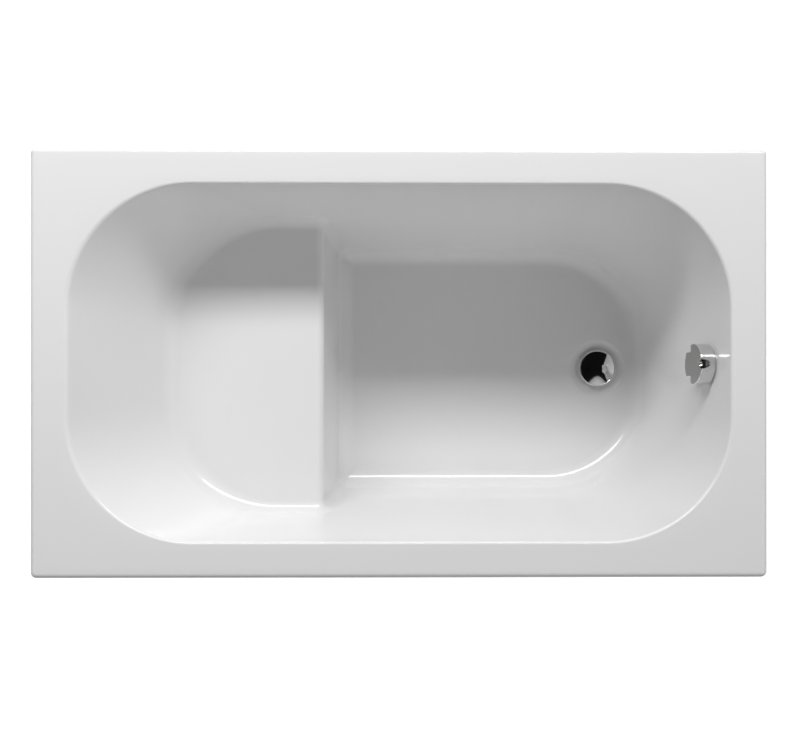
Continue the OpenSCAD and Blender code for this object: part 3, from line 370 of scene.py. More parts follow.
def full_outline(low, high, half, radius):
    """Rounded rectangle round the whole opening."""
    n = outline_steps
    split_x = seat_front_x + seat_fillet
    return whole(np.concatenate([
        line(high, 0, high, half - radius, n[0]),
        arc(high - radius, half - radius, radius, radius, 0, n[1]),
        line(high - radius, half, split_x, half, n[2]),
        line(split_x, half, low + radius, half, n[3], power=seat_crowding),
        arc(low + radius, half - radius, radius, radius, 90, n[4]),
        line(low, half - radius, low, 0, n[5], last=True),
    ]))


def well_outline(low, high, half, radius, corner_x, corner_y):
    """Outline of the foot well, whose corners at the riser are arcs with a radius each way."""
    n = outline_steps
    return whole(np.concatenate([
        line(high, 0, high, half - radius, n[0]),
        arc(high - radius, half - radius, radius, radius, 0, n[1]),
        line(high - radius, half, low + corner_x, half, n[2]),
        arc(low + corner_x, half - corner_y, corner_x, corner_y, 90, n[3]),
        line(low, half - corner_y, low, 0, n[4] + n[5], last=True),
    ]))


def opening_ring(depth, inset):
    """The opening at a depth, drawn in by a distance square to its walls."""
    radius = opening_radius - depth * radius_taper - inset
    return full_outline(
        back_x + depth * backrest_slope + inset * math.sqrt(1 + backrest_slope ** 2),
        drain_end_x - depth * drain_end_slope - inset * math.sqrt(1 + drain_end_slope ** 2),
        half_at(depth) - inset * math.sqrt(1 + side_slope ** 2),
        radius,
    )


# Beside the well the rings of the seat's fillet go on down the wall, by this share of the fillet.
# They pass over to the seat along a length in mm.
wall_follow = 0.6
seat_blend = 1.4 * seat_fillet


def seat_ring(turn):
    """Ring down the seat's fillet at a turn of 0 to 90 degrees, kept on the wall beside the well."""
    angle = math.radians(turn)
    on_wall = opening_ring(seat_depth - seat_fillet + seat_fillet * wall_follow * turn / 90, 0)
    on_seat = opening_ring(
        seat_depth - seat_fillet * (1 - math.sin(angle)), seat_fillet * (1 - math.cos(angle)),
    )
    share = np.clip((seat_front_x - on_wall[:, :1]) / seat_blend, 0, 1)
    share = share * share * (3 - 2 * share)
    return on_wall + (on_seat - on_wall) * share


def well_ring(depth, wall_depth, outset, inset):
    """Ring round the foot well, with its riser moved out over the seat by outset."""
    corner = max(seat_fillet - inset, 1)
    return well_outline(
        seat_front_x + (depth - seat_depth) * riser_slope - outset + inset,
        drain_end_x - wall_depth * drain_end_slope - inset,
        half_at(wall_depth) - inset,
        opening_radius - wall_depth * radius_taper - inset,
        corner + outset, corner,
    )


def between(first, last, steps):
    """Rings evenly between two rings, without either."""
    return [first + (last - first) * i / steps for i in range(1, steps)]


def quarter(steps):
    """Angles from 0 to 90 degrees in equal steps."""
    return [90 * i / steps for i in range(steps + 1)]


# Rings in each round stretch, and steps over each straight one, on the way down from the rim
roll_steps = 10
fillet_steps = 16
edge_steps = 12
wall_steps = 8
seat_steps = 10
riser_steps = 12
roll_rings = [
    opening_ring(
        rim_roll * (1 - math.cos(math.radians(t))), -rim_roll * (1 - math.sin(math.radians(t)))
    ) for t in quarter(roll_steps)
]
fillet_rings = [seat_ring(t) for t in quarter(fillet_steps)]
# On the walls the rings of the seat's front edge start this many mm above the seat
edge_lead = 6
edge_rings = [
    well_ring(
        seat_depth + seat_edge * (1 - math.cos(math.radians(t))),
        seat_depth - edge_lead + (seat_edge + edge_lead) * t / 90,
        seat_edge * (1 - math.sin(math.radians(t))), 0,
    ) for t in quarter(edge_steps)
]
floor_rings = [
    well_ring(
        well_depth - floor_fillet * (1 - math.sin(math.radians(t))),
        well_depth - floor_fillet * (1 - math.sin(math.radians(t))),
        0, floor_fillet * (1 - math.cos(math.radians(t))),
    ) for t in quarter(fillet_steps)
]
plan_rings = (
    roll_rings + between(roll_rings[-1], fillet_rings[0], wall_steps)
    + fillet_rings + between(fillet_rings[-1], edge_rings[0], seat_steps)
    + edge_rings + between(edge_rings[-1], floor_rings[0], riser_steps)
    + floor_rings
)
plan = np.stack(plan_rings)
depths = surface_depth(plan[..., 0], plan[..., 1])
depths[0] = 0
depths[-1] = well_depth
normals = surface_normal(plan[..., 0], plan[..., 1], depths)
normals[0] = normals[-1] = (0, 0, 1)
inside = np.concatenate([plan, rim_height - depths[..., None]], axis=-1)

# Round the drain the floor's rings turn into circles that run down into the dish
to_drain = floor_rings[-1] - [drain_x, 0]
far = np.linalg.norm(to_drain, axis=1, keepdims=True)
ray = to_drain / far


def drain_circle(radius, z):
    """Ring of points round the drain, each on the ray to its own point of the floor's outline."""
    plan_points = [drain_x, 0] + ray * radius
    return np.concatenate([plan_points, np.full((len(ray), 1), z)], axis=1)


def dish_level(radius):
    """Level of the dish: a smooth S from its rim down to its flat bottom."""
    t = np.clip((dish_radius - radius) / (dish_radius - dish_flat), 0, 1)
    return rim_height - well_depth - dish_depth * t * t * (3 - 2 * t)


def floor_ring(share, z):
    """Ring part of the way from the floor's outline to the dish's rim."""
    radius = far + (dish_radius + 1 - far) * share
    return np.concatenate([[drain_x, 0] + ray * radius, np.full((len(ray), 1), z)], axis=1)


floor_steps = 6
dish_steps = 22
floor_level = rim_height - well_depth
dish_rings = [floor_ring(i / floor_steps, floor_level) for i in range(1, floor_steps)]
dish_radii = np.linspace(dish_radius + 1, dish_flat, dish_steps)
dish_rings += [drain_circle(r, dish_level(r)) for r in dish_radii]
dish_rings += [drain_circle(r, floor_level - dish_depth) for r in drain_floor_radii]
boss_level = floor_level - dish_depth - shell_thickness
under_level = floor_level - shell_thickness
boss_rings = [drain_circle(r, boss_level) for r in boss_radii]
boss_rings += [drain_circle(boss_radius, z) for z in (boss_level + 1, under_level - 1)]
boss_rings += [drain_circle(boss_radius + 1, under_level)]
under_steps = 4
boss_rings += [floor_ring(i / under_steps, under_level) for i in range(under_steps - 1, 0, -1)]


least_corner = 0.5


def rect_ring(inset, z):
    """Ring round the deck's outer edge, drawn in by an inset, at a level."""
    corner = max(outer_corner - inset, least_corner)
    outline = full_outline(
        -bath_length / 2 + inset, bath_length / 2 - inset, bath_width / 2 - inset, corner,
    )
    return np.concatenate([outline, np.full((len(outline), 1), z)], axis=1)


lip_steps = 3
deck_steps = 4
deck_edge_steps = 8
outer_rings = [
    rect_ring(0, rim_height - lip_height * (1 - i / lip_steps)) for i in range(lip_steps)
]
outer_rings += [
    rect_ring(
        deck_edge * (1 - math.cos(math.radians(t))),
        rim_height - deck_edge * (1 - math.sin(math.radians(t))),
    ) for t in quarter(deck_edge_steps)
]
outer_rings += between(outer_rings[-1], inside[0], deck_steps)
under = inside - shell_thickness * normals
inner_edge = rect_ring(shell_thickness, rim_height - shell_thickness)
inner_rings = between(under[0], inner_edge, deck_steps - 1) + [inner_edge]
inner_rings += [rect_ring(shell_thickness, rim_height - lip_height)]
sheet_rings = np.stack(
    outer_rings + list(inside) + dish_rings + boss_rings + list(under[::-1]) + inner_rings
)
first_under = len(outer_rings) + len(inside) + len(dish_rings)


def add_piece(name, points_mm, faces, materials, smooth_angle=35, merged=False):
    """Makes a mesh object from points in millimetres, shaded smooth up to an angle.

    Where its poles are rings of one repeated point, merged makes each of them a single point.
    """
    mesh = bpy.data.meshes.new(name)
    flat = np.asarray(points_mm, dtype=np.float64).reshape(-1, 3) / 1000
    faces = np.asarray(faces)
    mesh.vertices.add(len(flat))
    mesh.vertices.foreach_set("co", flat.ravel())
    mesh.loops.add(faces.size)
    mesh.loops.foreach_set("vertex_index", faces.ravel())
    mesh.polygons.add(len(faces))
    mesh.polygons.foreach_set("loop_start", np.arange(len(faces)) * faces.shape[1])
    mesh.update(calc_edges=True)
    if merged:
        loose = bmesh.new()
        loose.from_mesh(mesh)
        bmesh.ops.remove_doubles(loose, verts=loose.verts, dist=1e-6)
        loose.to_mesh(mesh)
        loose.free()
    mesh.validate()
    mesh.polygons.foreach_set("use_smooth", np.ones(len(mesh.polygons), dtype=bool))
    mesh.set_sharp_from_angle(angle=math.radians(smooth_angle))
    for material in materials:
        mesh.materials.append(material)
    piece = bpy.data.objects.new(name, mesh)
    scene.collection.objects.link(piece)
    return piece


def grid_faces(rows, columns, close_rows=False):
    """Quads between neighbouring rings of a grid, facing out when rings rise and turn left."""
    row = np.arange(rows if close_rows else rows - 1)[:, None]
    column = np.arange(columns)[None, :]
    next_row = (row + 1) % rows
    next_column = (column + 1) % columns
    return np.stack([
        row * columns + column, row * columns + next_column,
        next_row * columns + next_column, next_row * columns + column,
    ], axis=-1).reshape(-1, 4)


def material(name):
    """Starts a material and returns it with its cleared node tree."""
    made = bpy.data.materials.new(name)
    made.use_nodes = True
    made.node_tree.nodes.clear()
    return made, made.node_tree


# Sanitary acrylic, cast sheet drawn down into the mould: a soft even gloss, and the faintest
# waviness, about a hand's width from wave to wave
wave_mm = 111
acrylic, tree = material("cast_acrylic")
place = node(tree, "ShaderNodeTexCoord")
cloud = node(tree, "ShaderNodeTexNoise", {"Scale": 1000 / wave_mm, "Detail": 2.0}, {
    "Vector": place.outputs["Object"],
})
gloss = node(tree, "ShaderNodeMapRange", {
    "From Min": 0.3, "From Max": 0.7, "To Min": 0.11, "To Max": 0.15,
}, {"Value": cloud.outputs["Fac"]})
wave = node(tree, "ShaderNodeBump", {"Strength": 0.04, "Distance": 0.001}, {
    "Height": cloud.outputs["Fac"],
})
surface = node(tree, "ShaderNodeBsdfPrincipled", {
    "Base Color": linear("ebebeb"), "IOR": 1.49,
}, {"Roughness": gloss.outputs["Result"], "Normal": wave.outputs["Normal"]})
node(tree, "ShaderNodeOutputMaterial", links={"Surface": surface})

# Sprayed glassfibre: chopped strands under polyester resin, matt, knobbly and faintly straw green.
# Its strands are a millimetre wide, and are drawn wider so that they show.
strand_mm = 4.55
lump_mm = 29.4
lump_share = 2.2
laminate, tree = material("sprayed_glassfibre")
place = node(tree, "ShaderNodeTexCoord")
strand = node(tree, "ShaderNodeTexNoise", {
    "Scale": 1000 / strand_mm, "Detail": 3.0, "Distortion": 2.5,
}, {"Vector": place.outputs["Object"]})
lump = node(tree, "ShaderNodeTexNoise", {"Scale": 1000 / lump_mm, "Detail": 2.0}, {
    "Vector": place.outputs["Object"],
})
tint = node(tree, "ShaderNodeMix", {
    "data_type": "RGBA", "A": linear("cfcdb8"), "B": linear("e4e3d6"),
}, {"Factor": strand.outputs["Fac"]})
relief = node(tree, "ShaderNodeMath", {"operation": "MULTIPLY_ADD", 1: lump_share}, {
    0: lump.outputs["Fac"], 2: strand.outputs["Fac"],
})
bump = node(tree, "ShaderNodeBump", {"Strength": 0.7, "Distance": 0.0012}, {"Height": relief})
surface = node(tree, "ShaderNodeBsdfPrincipled", {"Roughness": 0.5, "IOR": 1.55}, {
    "Base Color": tint.outputs["Result"], "Normal": bump.outputs["Normal"],
})
node(tree, "ShaderNodeOutputMaterial", links={"Surface": surface})

ring_count, point_count = sheet_rings.shape[:2]
shell = add_piece(
    "acrylic_shell", sheet_rings, grid_faces(ring_count, point_count, close_rows=True),
    [acrylic, laminate],
)
lip_rings = 2
face_row = np.repeat(np.arange(ring_count), point_count)
is_under = (face_row >= first_under) & (face_row < ring_count - lip_rings)
shell.data.polygons.foreach_set("material_index", is_under.astype(np.int32))
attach(shell, "bath")
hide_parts("bath_shell")


# The plug is a brass cap, pressed to a very shallow cone with a rounded tip, polished and chromium
# plated. It hides the flange. Its edge is rolled over, a little higher than the cone beside it.
def turned(profile, steps):
    """Profile of (radius, height) points carried round the Z axis: one row of points per height."""
    angle = np.linspace(0, 2 * np.pi, steps, endpoint=False)
    profile = np.asarray(profile, dtype=float)
    radius, height = profile[:, :1], profile[:, 1:]
    return np.stack([
        radius * np.cos(angle), radius * np.sin(angle), height + np.zeros_like(angle),
    ], axis=-1)


def bend(cx, cy, r, start, end, steps):
    """Points of an arc in a profile, from one angle to another in degrees."""
    angle = np.radians(np.linspace(start, end, steps + 1))
    return list(zip(cx + r * np.cos(angle), cy + r * np.sin(angle)))


def node_box(name):
    """Lowest and highest corner of a CAD node in millimetres."""
    low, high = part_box(name)
    return np.array(low) * 1000, np.array(high) * 1000


def round_piece(name, profile, centre, materials, steps):
    """A turned piece that stands upright on a centre point, its poles merged to one point each."""
    rings = turned(profile, steps) + np.asarray(centre, dtype=float)
    return add_piece(name, rings, grid_faces(len(rings), steps), materials, merged=True)


haze_mm = 16.7


def chromium(name, colour, finest, dullest):
    """Chromium plate over polished metal, whose polish varies a little between two roughnesses."""
    made, tree = material(name)
    place = node(tree, "ShaderNodeTexCoord")
    haze = node(tree, "ShaderNodeTexNoise", {"Scale": 1000 / haze_mm, "Detail": 3.0}, {
        "Vector": place.outputs["Object"],
    })
    polish = node(tree, "ShaderNodeMapRange", {
        "From Min": 0.3, "From Max": 0.7, "To Min": finest, "To Max": dullest,
    }, {"Value": haze.outputs["Fac"]})
    surface = node(tree, "ShaderNodeBsdfPrincipled", {
        "Base Color": linear(colour), "Metallic": 1.0,
    }, {"Roughness": polish.outputs["Result"]})
    node(tree, "ShaderNodeOutputMaterial", links={"Surface": surface})
    return made


# The cast knob keeps a faint grey haze; the pressed plug is polished to a mirror
chrome = chromium("polished_chrome", "dadada", 0.05, 0.09)
mirror_chrome = chromium("mirror_chrome", "f6f6f6", 0.03, 0.05)

cap_low, cap_high = node_box("plug_cap")
cap_radius = (cap_high[0] - cap_low[0]) / 2
crown_slope = 0.105
crown_round = 12
rim_round = 1.1
rim_width = 1.8
rim_inside = cap_radius - rim_width
rim_over = 0.5
rim_turn = 120
crown_steps = 40
plug_sides = 128


def crown(radius):
    """Level of the cap's top at a radius: a very shallow cone whose tip is rounded, a hyperbola."""
    return cap_high[2] - crown_slope * (np.hypot(radius, crown_round) - crown_round)


cap_base = cap_low[2]
rim_z = crown(rim_inside) + rim_over - rim_round
cap_profile = [(0, cap_base), (cap_radius - 2 * rim_round, cap_base)]
cap_profile += bend(cap_radius - rim_round, cap_base + rim_round, rim_round, -90, 0, 6)
cap_profile += bend(cap_radius - rim_round, rim_z, rim_round, 0, rim_turn, 12)
cap_profile += [(r, crown(r)) for r in np.linspace(rim_inside, 0, crown_steps)]
plug = round_piece("plug_dome", cap_profile, (drain_x, 0, 0), [mirror_chrome], plug_sides)
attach(plug, "plug")
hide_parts("plug_cap")


# The overflow's knob is a thick round disc, cast in zinc and chromium plated. Its lower half is
# cut back to a tongue, on each side of which the water gets in, and a dimple in its top edge takes
# the fingertip that turns it.
wall_turn = math.degrees(math.atan(drain_end_slope)) - 90
overflow_drop = 86
overflow_place = (drain_end_x - overflow_drop * drain_end_slope, 0, rim_height - overflow_drop)
on_overflow = np.array(
    Matrix.Translation(overflow_place) @ Matrix.Rotation(math.radians(wall_turn), 4, "Y")
)


def from_overflow(points):
    """Turns points of the overflow's own frame, whose Z axis looks into the bath, to the bath's."""
    return np.asarray(points) @ on_overflow[:3, :3].T + on_overflow[:3, 3]


knob_radius = 34.5
knob_back = 4
knob_front = 28
knob_edge = 1.5
knob_back_edge = 0.4
knob_sides = 240
knob_side_rows = 20
knob_edge_rows = 8
knob_face_rows = 50
inlet_side = 21
inlet_back = 11
dimple_reach = np.array([11.5, 8.4, 16.5])
dimple_offset = 1


def knob_outline(angle, inset):
    """Radius of the knob's outline at each angle: a circle, less two corners cut for the water."""
    cut = np.maximum(
        (inlet_back - inset) / np.maximum(-np.cos(angle), 1e-6),
        (inlet_side - inset) / np.maximum(np.abs(np.sin(angle)), 1e-6),
    )
    full = np.full_like(angle, knob_radius - inset)
    return np.where(np.cos(angle) < 0, np.minimum(full, cut), full)


# A pair of points close beside each corner of the outline keeps it sharp
corner_gap = 0.004
corner_angles = [
    math.pi - math.asin(inlet_side / knob_radius), math.pi - math.atan2(inlet_side, inlet_back),
    math.acos(-inlet_back / knob_radius),
]
knob_angles = np.unique(np.concatenate(
    [np.linspace(0, 2 * np.pi, knob_sides, endpoint=False)]
    + [[turn - corner_gap, turn, turn + corner_gap]
       for corner in corner_angles for turn in (corner, 2 * np.pi - corner)]
))
knob_rows = [(0.0, knob_back, 0.0), (0.5, knob_back, 0.0), (1.0, knob_back, knob_back_edge)]
knob_rows += [(1.0, knob_back + knob_back_edge, 0.0)]
side_levels = np.linspace(knob_back + 2, knob_front - knob_edge - 1, knob_side_rows)
knob_rows += [(1.0, level, 0.0) for level in side_levels]
knob_rows += [
    (1.0, knob_front - knob_edge * (1 - math.sin(math.radians(t))),
     knob_edge * (1 - math.cos(math.radians(t)))) for t in quarter(knob_edge_rows)
]
knob_rows += [(share, knob_front, knob_edge) for share in np.linspace(1, 0, knob_face_rows)[1:]]
knob_grid = []
for share, height, inset in knob_rows:
    reach = knob_outline(knob_angles, inset) * share
    knob_grid.append(np.stack([
        reach * np.cos(knob_angles), reach * np.sin(knob_angles), np.full_like(reach, height),
    ], axis=-1))
knob_grid = np.stack(knob_grid)
dimple_centre = np.array([knob_radius + dimple_offset, 0, knob_front + dimple_offset])
from_dimple = (knob_grid - dimple_centre) / dimple_reach
depth_in = np.linalg.norm(from_dimple, axis=-1, keepdims=True)
knob_grid = np.where(
    depth_in < 1, dimple_centre + from_dimple / depth_in * dimple_reach, knob_grid,
)
knob = add_piece(
    "overflow_turn_knob", from_overflow(knob_grid), grid_faces(*knob_grid.shape[:2]), [chrome], 40,
    merged=True,
)
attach(knob, "knob")
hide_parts("overflow_knob")


# The overflow hose is blown polyethylene with a fine corrugation, so that it bends; its ends are
# held by union nuts. It carries the overflow's water down to the cup under the drain.
def route_point(along, drop, r):
    """Point and turn, in radians, at each distance down a drop, round a bend and then level."""
    turn = np.clip((along - drop) / r, 0, math.pi / 2)
    beyond = np.maximum(along - drop - r * math.pi / 2, 0)
    x = -r * (1 - np.cos(turn)) - beyond
    z = -np.minimum(along, drop) - r * np.sin(turn)
    return x, z, turn


def swept(along, radius, drop, r, side, sides):
    """Round tube along a route: one ring of points for each distance, with its own radius."""
    x, z, turn = (value[:, None] for value in route_point(along, drop, r))
    angle = np.linspace(0, 2 * np.pi, sides, endpoint=False)
    out = radius[:, None] * np.cos(angle)
    return np.stack([
        x + out * np.cos(turn), side[:, None] + radius[:, None] * np.sin(angle),
        z - out * np.sin(turn),
    ], axis=-1)


hose_low, hose_high = node_box("overflow_hose")
hose_radius = (hose_high[1] - hose_low[1]) / 2
hose_bend = 90
hose_x = hose_high[0] - hose_radius
hose_z = hose_low[2] + hose_radius
hose_drop = hose_high[2] - hose_z - hose_bend
hose_length = hose_drop + hose_bend * math.pi / 2
hose_bore = 23
hose_sides = 48
rib_pitch = 4.5
rib_depth = 2.0
rib_fullness = 0.7
rib_steps = 10
plain_end = 2 * hose_radius
rib_count = int((hose_length - 2 * plain_end) / rib_pitch)
rib_start = (hose_length - rib_count * rib_pitch) / 2
ribbed = rib_start + np.arange(rib_count * rib_steps + 1) * rib_pitch / rib_steps
rib_wave = 0.5 - 0.5 * np.cos(2 * np.pi * (ribbed - rib_start) / rib_pitch)
hose_along = np.concatenate([
    [0, rib_start / 2], ribbed, [hose_length - rib_start / 2, hose_length],
])
hose_radii = np.full_like(hose_along, hose_radius - rib_depth)
hose_radii[2:-2] += rib_depth * rib_wave ** rib_fullness
bore_along = hose_along[::-rib_steps]
bore_along = np.concatenate([[hose_length], bore_along[1:-1], [0]])
bore_radii = np.full_like(bore_along, hose_bore / 2)
hose_rings = np.concatenate([
    swept(along, radii, hose_drop, hose_bend, 0 * along, hose_sides)
    for along, radii in ((hose_along, hose_radii), (bore_along, bore_radii))
]) + [hose_x, 0, hose_high[2]]

# Blown polyethylene is milky and waxy: a little light passes into it, in uneven clouds
hose_cloud_mm = 22.2
hose_plastic, tree = material("blown_polyethylene")
place = node(tree, "ShaderNodeTexCoord")
cloud = node(tree, "ShaderNodeTexNoise", {"Scale": 1000 / hose_cloud_mm, "Detail": 2.0}, {
    "Vector": place.outputs["Object"],
})
tint = node(tree, "ShaderNodeMix", {
    "data_type": "RGBA", "A": linear("c9cbc8"), "B": linear("dcddda"),
}, {"Factor": cloud.outputs["Fac"]})
surface = node(tree, "ShaderNodeBsdfPrincipled", {
    "Roughness": 0.38, "IOR": 1.51, "Subsurface Weight": 0.1,
    "Subsurface Radius": (0.004, 0.004, 0.004),
}, {"Base Color": tint.outputs["Result"]})
node(tree, "ShaderNodeOutputMaterial", links={"Surface": surface})
hose = add_piece(
    "corrugated_hose", hose_rings,
    grid_faces(len(hose_rings), hose_sides, close_rows=True)[:, ::-1], [hose_plastic], 50,
)
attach(hose, "bath")
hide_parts("overflow_hose")


# The control cable is a wire that slides in a black extruded sheath. It leaves the overflow beside
# the hose, is clipped to it and swings round to the bracket on the drain's cup.
cable_low, cable_high = node_box("control_cable")
cable_radius = cable_high[0] - hose_x
cable_bend = 60
wire_low, wire_high = node_box("cable_wire")
wire_z = (wire_low[2] + wire_high[2]) / 2
crank_y = (wire_low[1] + wire_high[1]) / 2
nut_wall = 4
grip_rib = 2.2
cable_y = hose_radius + nut_wall + grip_rib + cable_radius
cable_drop = cable_high[2] - wire_z - cable_bend
cable_length = cable_drop + cable_bend * math.pi / 2 + hose_x - cable_bend - cable_low[0]
# The cable swings over from the hose's side to the crank's, in a smooth S along this part of it
swing_start = 0.15
swing_share = 0.55
cable_points = 161
cable_sides = 24
cable_along = np.linspace(0, cable_length, cable_points)
share = np.clip((cable_along / cable_length - swing_start) / swing_share, 0, 1)
cable_side = cable_y + (crank_y - cable_y) * share * share * (3 - 2 * share)
sheath_bore = 1.2
sheath_rings = np.concatenate([
    swept(along, np.full_like(along, radius), cable_drop, cable_bend, side, cable_sides)
    for along, radius, side in (
        (cable_along, cable_radius, cable_side), (cable_along[::-1], sheath_bore, cable_side[::-1]),
    )
]) + [hose_x, 0, cable_high[2]]

# The extruded sheath is black PVC, half glossy and scuffed dull in small patches
scuff_mm = 3.33
sheath, tree = material("extruded_sheath")
place = node(tree, "ShaderNodeTexCoord")
scuff = node(tree, "ShaderNodeTexNoise", {"Scale": 1000 / scuff_mm, "Detail": 2.0}, {
    "Vector": place.outputs["Object"],
})
dull = node(tree, "ShaderNodeMapRange", {"To Min": 0.35, "To Max": 0.55}, {
    "Value": scuff.outputs["Fac"],
})
surface = node(tree, "ShaderNodeBsdfPrincipled", {"Base Color": linear("1f2021"), "IOR": 1.52}, {
    "Roughness": dull.outputs["Result"],
})
node(tree, "ShaderNodeOutputMaterial", links={"Surface": surface})
cable = add_piece(
    "cable_sheath", sheath_rings,
    grid_faces(len(sheath_rings), cable_sides, close_rows=True)[:, ::-1], [sheath], 50,
)
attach(cable, "bath")
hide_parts("control_cable")


# Each of the six feet is a steel stud with a rolled thread, zinc plated and chamfered at its ends.
# It is screwed into a moulded nylon pad, which keeps the bath from slipping and from marking tiles.
thread_pitch = 1.5
thread_depth = 0.61 * thread_pitch
thread_crest = 0.12
thread_flank = 0.75
thread_rows = 12
stud_chamfer = 1.2
stud_sides = 24


def threaded(low_z, high_z, radius):
    """Stud whose surface follows a V thread: radius falls and rises with height less the turn."""
    rows = int((high_z - low_z) / thread_pitch * thread_rows) + 1
    height = np.linspace(low_z, high_z, rows)[:, None]
    angle = np.linspace(0, 2 * np.pi, stud_sides, endpoint=False)[None, :]
    phase = np.mod(height / thread_pitch - angle / (2 * np.pi), 1)
    groove = np.clip(np.abs(phase - 0.5) * 2 - thread_crest, 0, thread_flank) / thread_flank
    from_end = np.minimum(height - low_z, high_z - height)
    chamfer = np.clip(radius - stud_chamfer + from_end, 0, radius)
    reach = np.minimum(radius - thread_depth * groove, chamfer)
    rings = np.stack([
        reach * np.cos(angle), reach * np.sin(angle), height + np.zeros_like(angle),
    ], axis=-1)
    return np.concatenate([rings[:1] * [0, 0, 1], rings, rings[-1:] * [0, 0, 1]])


# Zinc plate is a pale bluish grey metal, clouded and duller where it has bloomed
bloom_mm = 18.2
zinc, tree = material("zinc_plated_steel")
place = node(tree, "ShaderNodeTexCoord")
bloom = node(tree, "ShaderNodeTexNoise", {"Scale": 1000 / bloom_mm, "Detail": 4.0}, {
    "Vector": place.outputs["Object"],
})
tint = node(tree, "ShaderNodeMix", {
    "data_type": "RGBA", "A": linear("b4b8bb"), "B": linear("cdcfcc"),
}, {"Factor": bloom.outputs["Fac"]})
dull = node(tree, "ShaderNodeMapRange", {"To Min": 0.24, "To Max": 0.42}, {
    "Value": bloom.outputs["Fac"],
})
surface = node(tree, "ShaderNodeBsdfPrincipled", {"Metallic": 1.0}, {
    "Base Color": tint.outputs["Result"], "Roughness": dull.outputs["Result"],
})
node(tree, "ShaderNodeOutputMaterial", links={"Surface": surface})

# Moulded nylon is black, with the fine even grain of a spark-eroded mould
spark_mm = 0.714
nylon, tree = material("moulded_nylon")
place = node(tree, "ShaderNodeTexCoord")
spark = node(tree, "ShaderNodeTexNoise", {"Scale": 1000 / spark_mm, "Detail": 1.0}, {
    "Vector": place.outputs["Object"],
})
bump = node(tree, "ShaderNodeBump", {"Strength": 0.25, "Distance": 0.0002}, {
    "Height": spark.outputs["Fac"],
})
surface = node(tree, "ShaderNodeBsdfPrincipled", {
    "Base Color": linear("232425"), "Roughness": 0.5, "IOR": 1.53,
}, {"Normal": bump.outputs["Normal"]})
node(tree, "ShaderNodeOutputMaterial", links={"Surface": surface})

# The pad's sole has a shallow groove round it, given by its distance from the rim and its depth
sole_groove = ((6, 0), (5, 0.6), (3, 0.6), (2.4, 0))
sole_round = 1
pad_lip = 1.5
pad_neck_wall = 5
pad_sides = 72
socket_depth = 0.8
socket_gap = 0.6
socket_chamfer = 1.5
for number in range(1, 7):
    stud_low, stud_high = node_box(f"foot_stud_{number}")
    stud_x, stud_y = (stud_low[:2] + stud_high[:2]) / 2
    stud_radius = (stud_high[0] - stud_low[0]) / 2
    rings = threaded(stud_low[2], stud_high[2], stud_radius) + [stud_x, stud_y, 0]
    stud = add_piece(
        f"threaded_stud_{number}", rings, grid_faces(len(rings), stud_sides), [zinc], 50,
        merged=True,
    )
    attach(stud, f"foot_{number}")
    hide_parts(f"foot_stud_{number}")

    pad_low, pad_high = node_box(f"foot_pad_{number}")
    pad_radius = (pad_high[0] - pad_low[0]) / 2
    neck = stud_radius + pad_neck_wall
    top = pad_high[2]
    skirt = top / 3
    slope = math.degrees(math.atan2(top - skirt, pad_radius - neck))
    socket = top - socket_depth
    pad_profile = [(0, 0)] + [(pad_radius - inset, depth) for inset, depth in sole_groove]
    pad_profile += bend(pad_radius - sole_round, sole_round, sole_round, -90, 0, 6)
    pad_profile += bend(pad_radius - pad_lip, skirt - pad_lip, pad_lip, 0, 90 - slope, 6)
    pad_profile += bend(neck - sole_round, top - sole_round, sole_round, 90 - slope, 90, 5)
    pad_profile += [(stud_radius + socket_chamfer, top), (stud_radius + socket_gap, socket)]
    pad_profile += [(stud_radius, socket), (0, socket)]
    pad = round_piece(
        f"nylon_pad_{number}", pad_profile, (stud_x, stud_y, 0), [nylon], pad_sides,
    )
    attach(pad, f"foot_{number}")
    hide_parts(f"foot_pad_{number}")


# The frame is square steel tube, zinc plated, drilled for the studs and the wood screws. Lock nuts
# clamp each stud, and the tube's cut edges are broken with a file.
weld_mm = 0.01
sharp_angle = 40


def dressed(name, finish, edge_mm):
    """Gives a CAD node a finish and rounds its sharp edges by a width in millimetres."""
    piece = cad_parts[name]
    piece.data.materials.clear()
    piece.data.materials.append(finish)
    weld = piece.modifiers.new("weld", "WELD")
    weld.merge_threshold = weld_mm / 1000
    edge = piece.modifiers.new("edge", "BEVEL")
    edge.width = edge_mm / 1000
    edge.segments = 2
    edge.limit_method = "ANGLE"
    edge.angle_limit = math.radians(sharp_angle)
    edge.use_clamp_overlap = True
    edge.harden_normals = True


for name in ("cross_rail_back", "cross_rail_drain", "seat_frame"):
    dressed(name, zinc, 0.5)
for name in ("rail_screws", "lock_nuts", "overflow_screws"):
    dressed(name, zinc, 0.25)
for name in ("leg_inserts", "rail_caps"):
    dressed(name, nylon, 0.4)
dressed("cable_clips", nylon, 0.3)


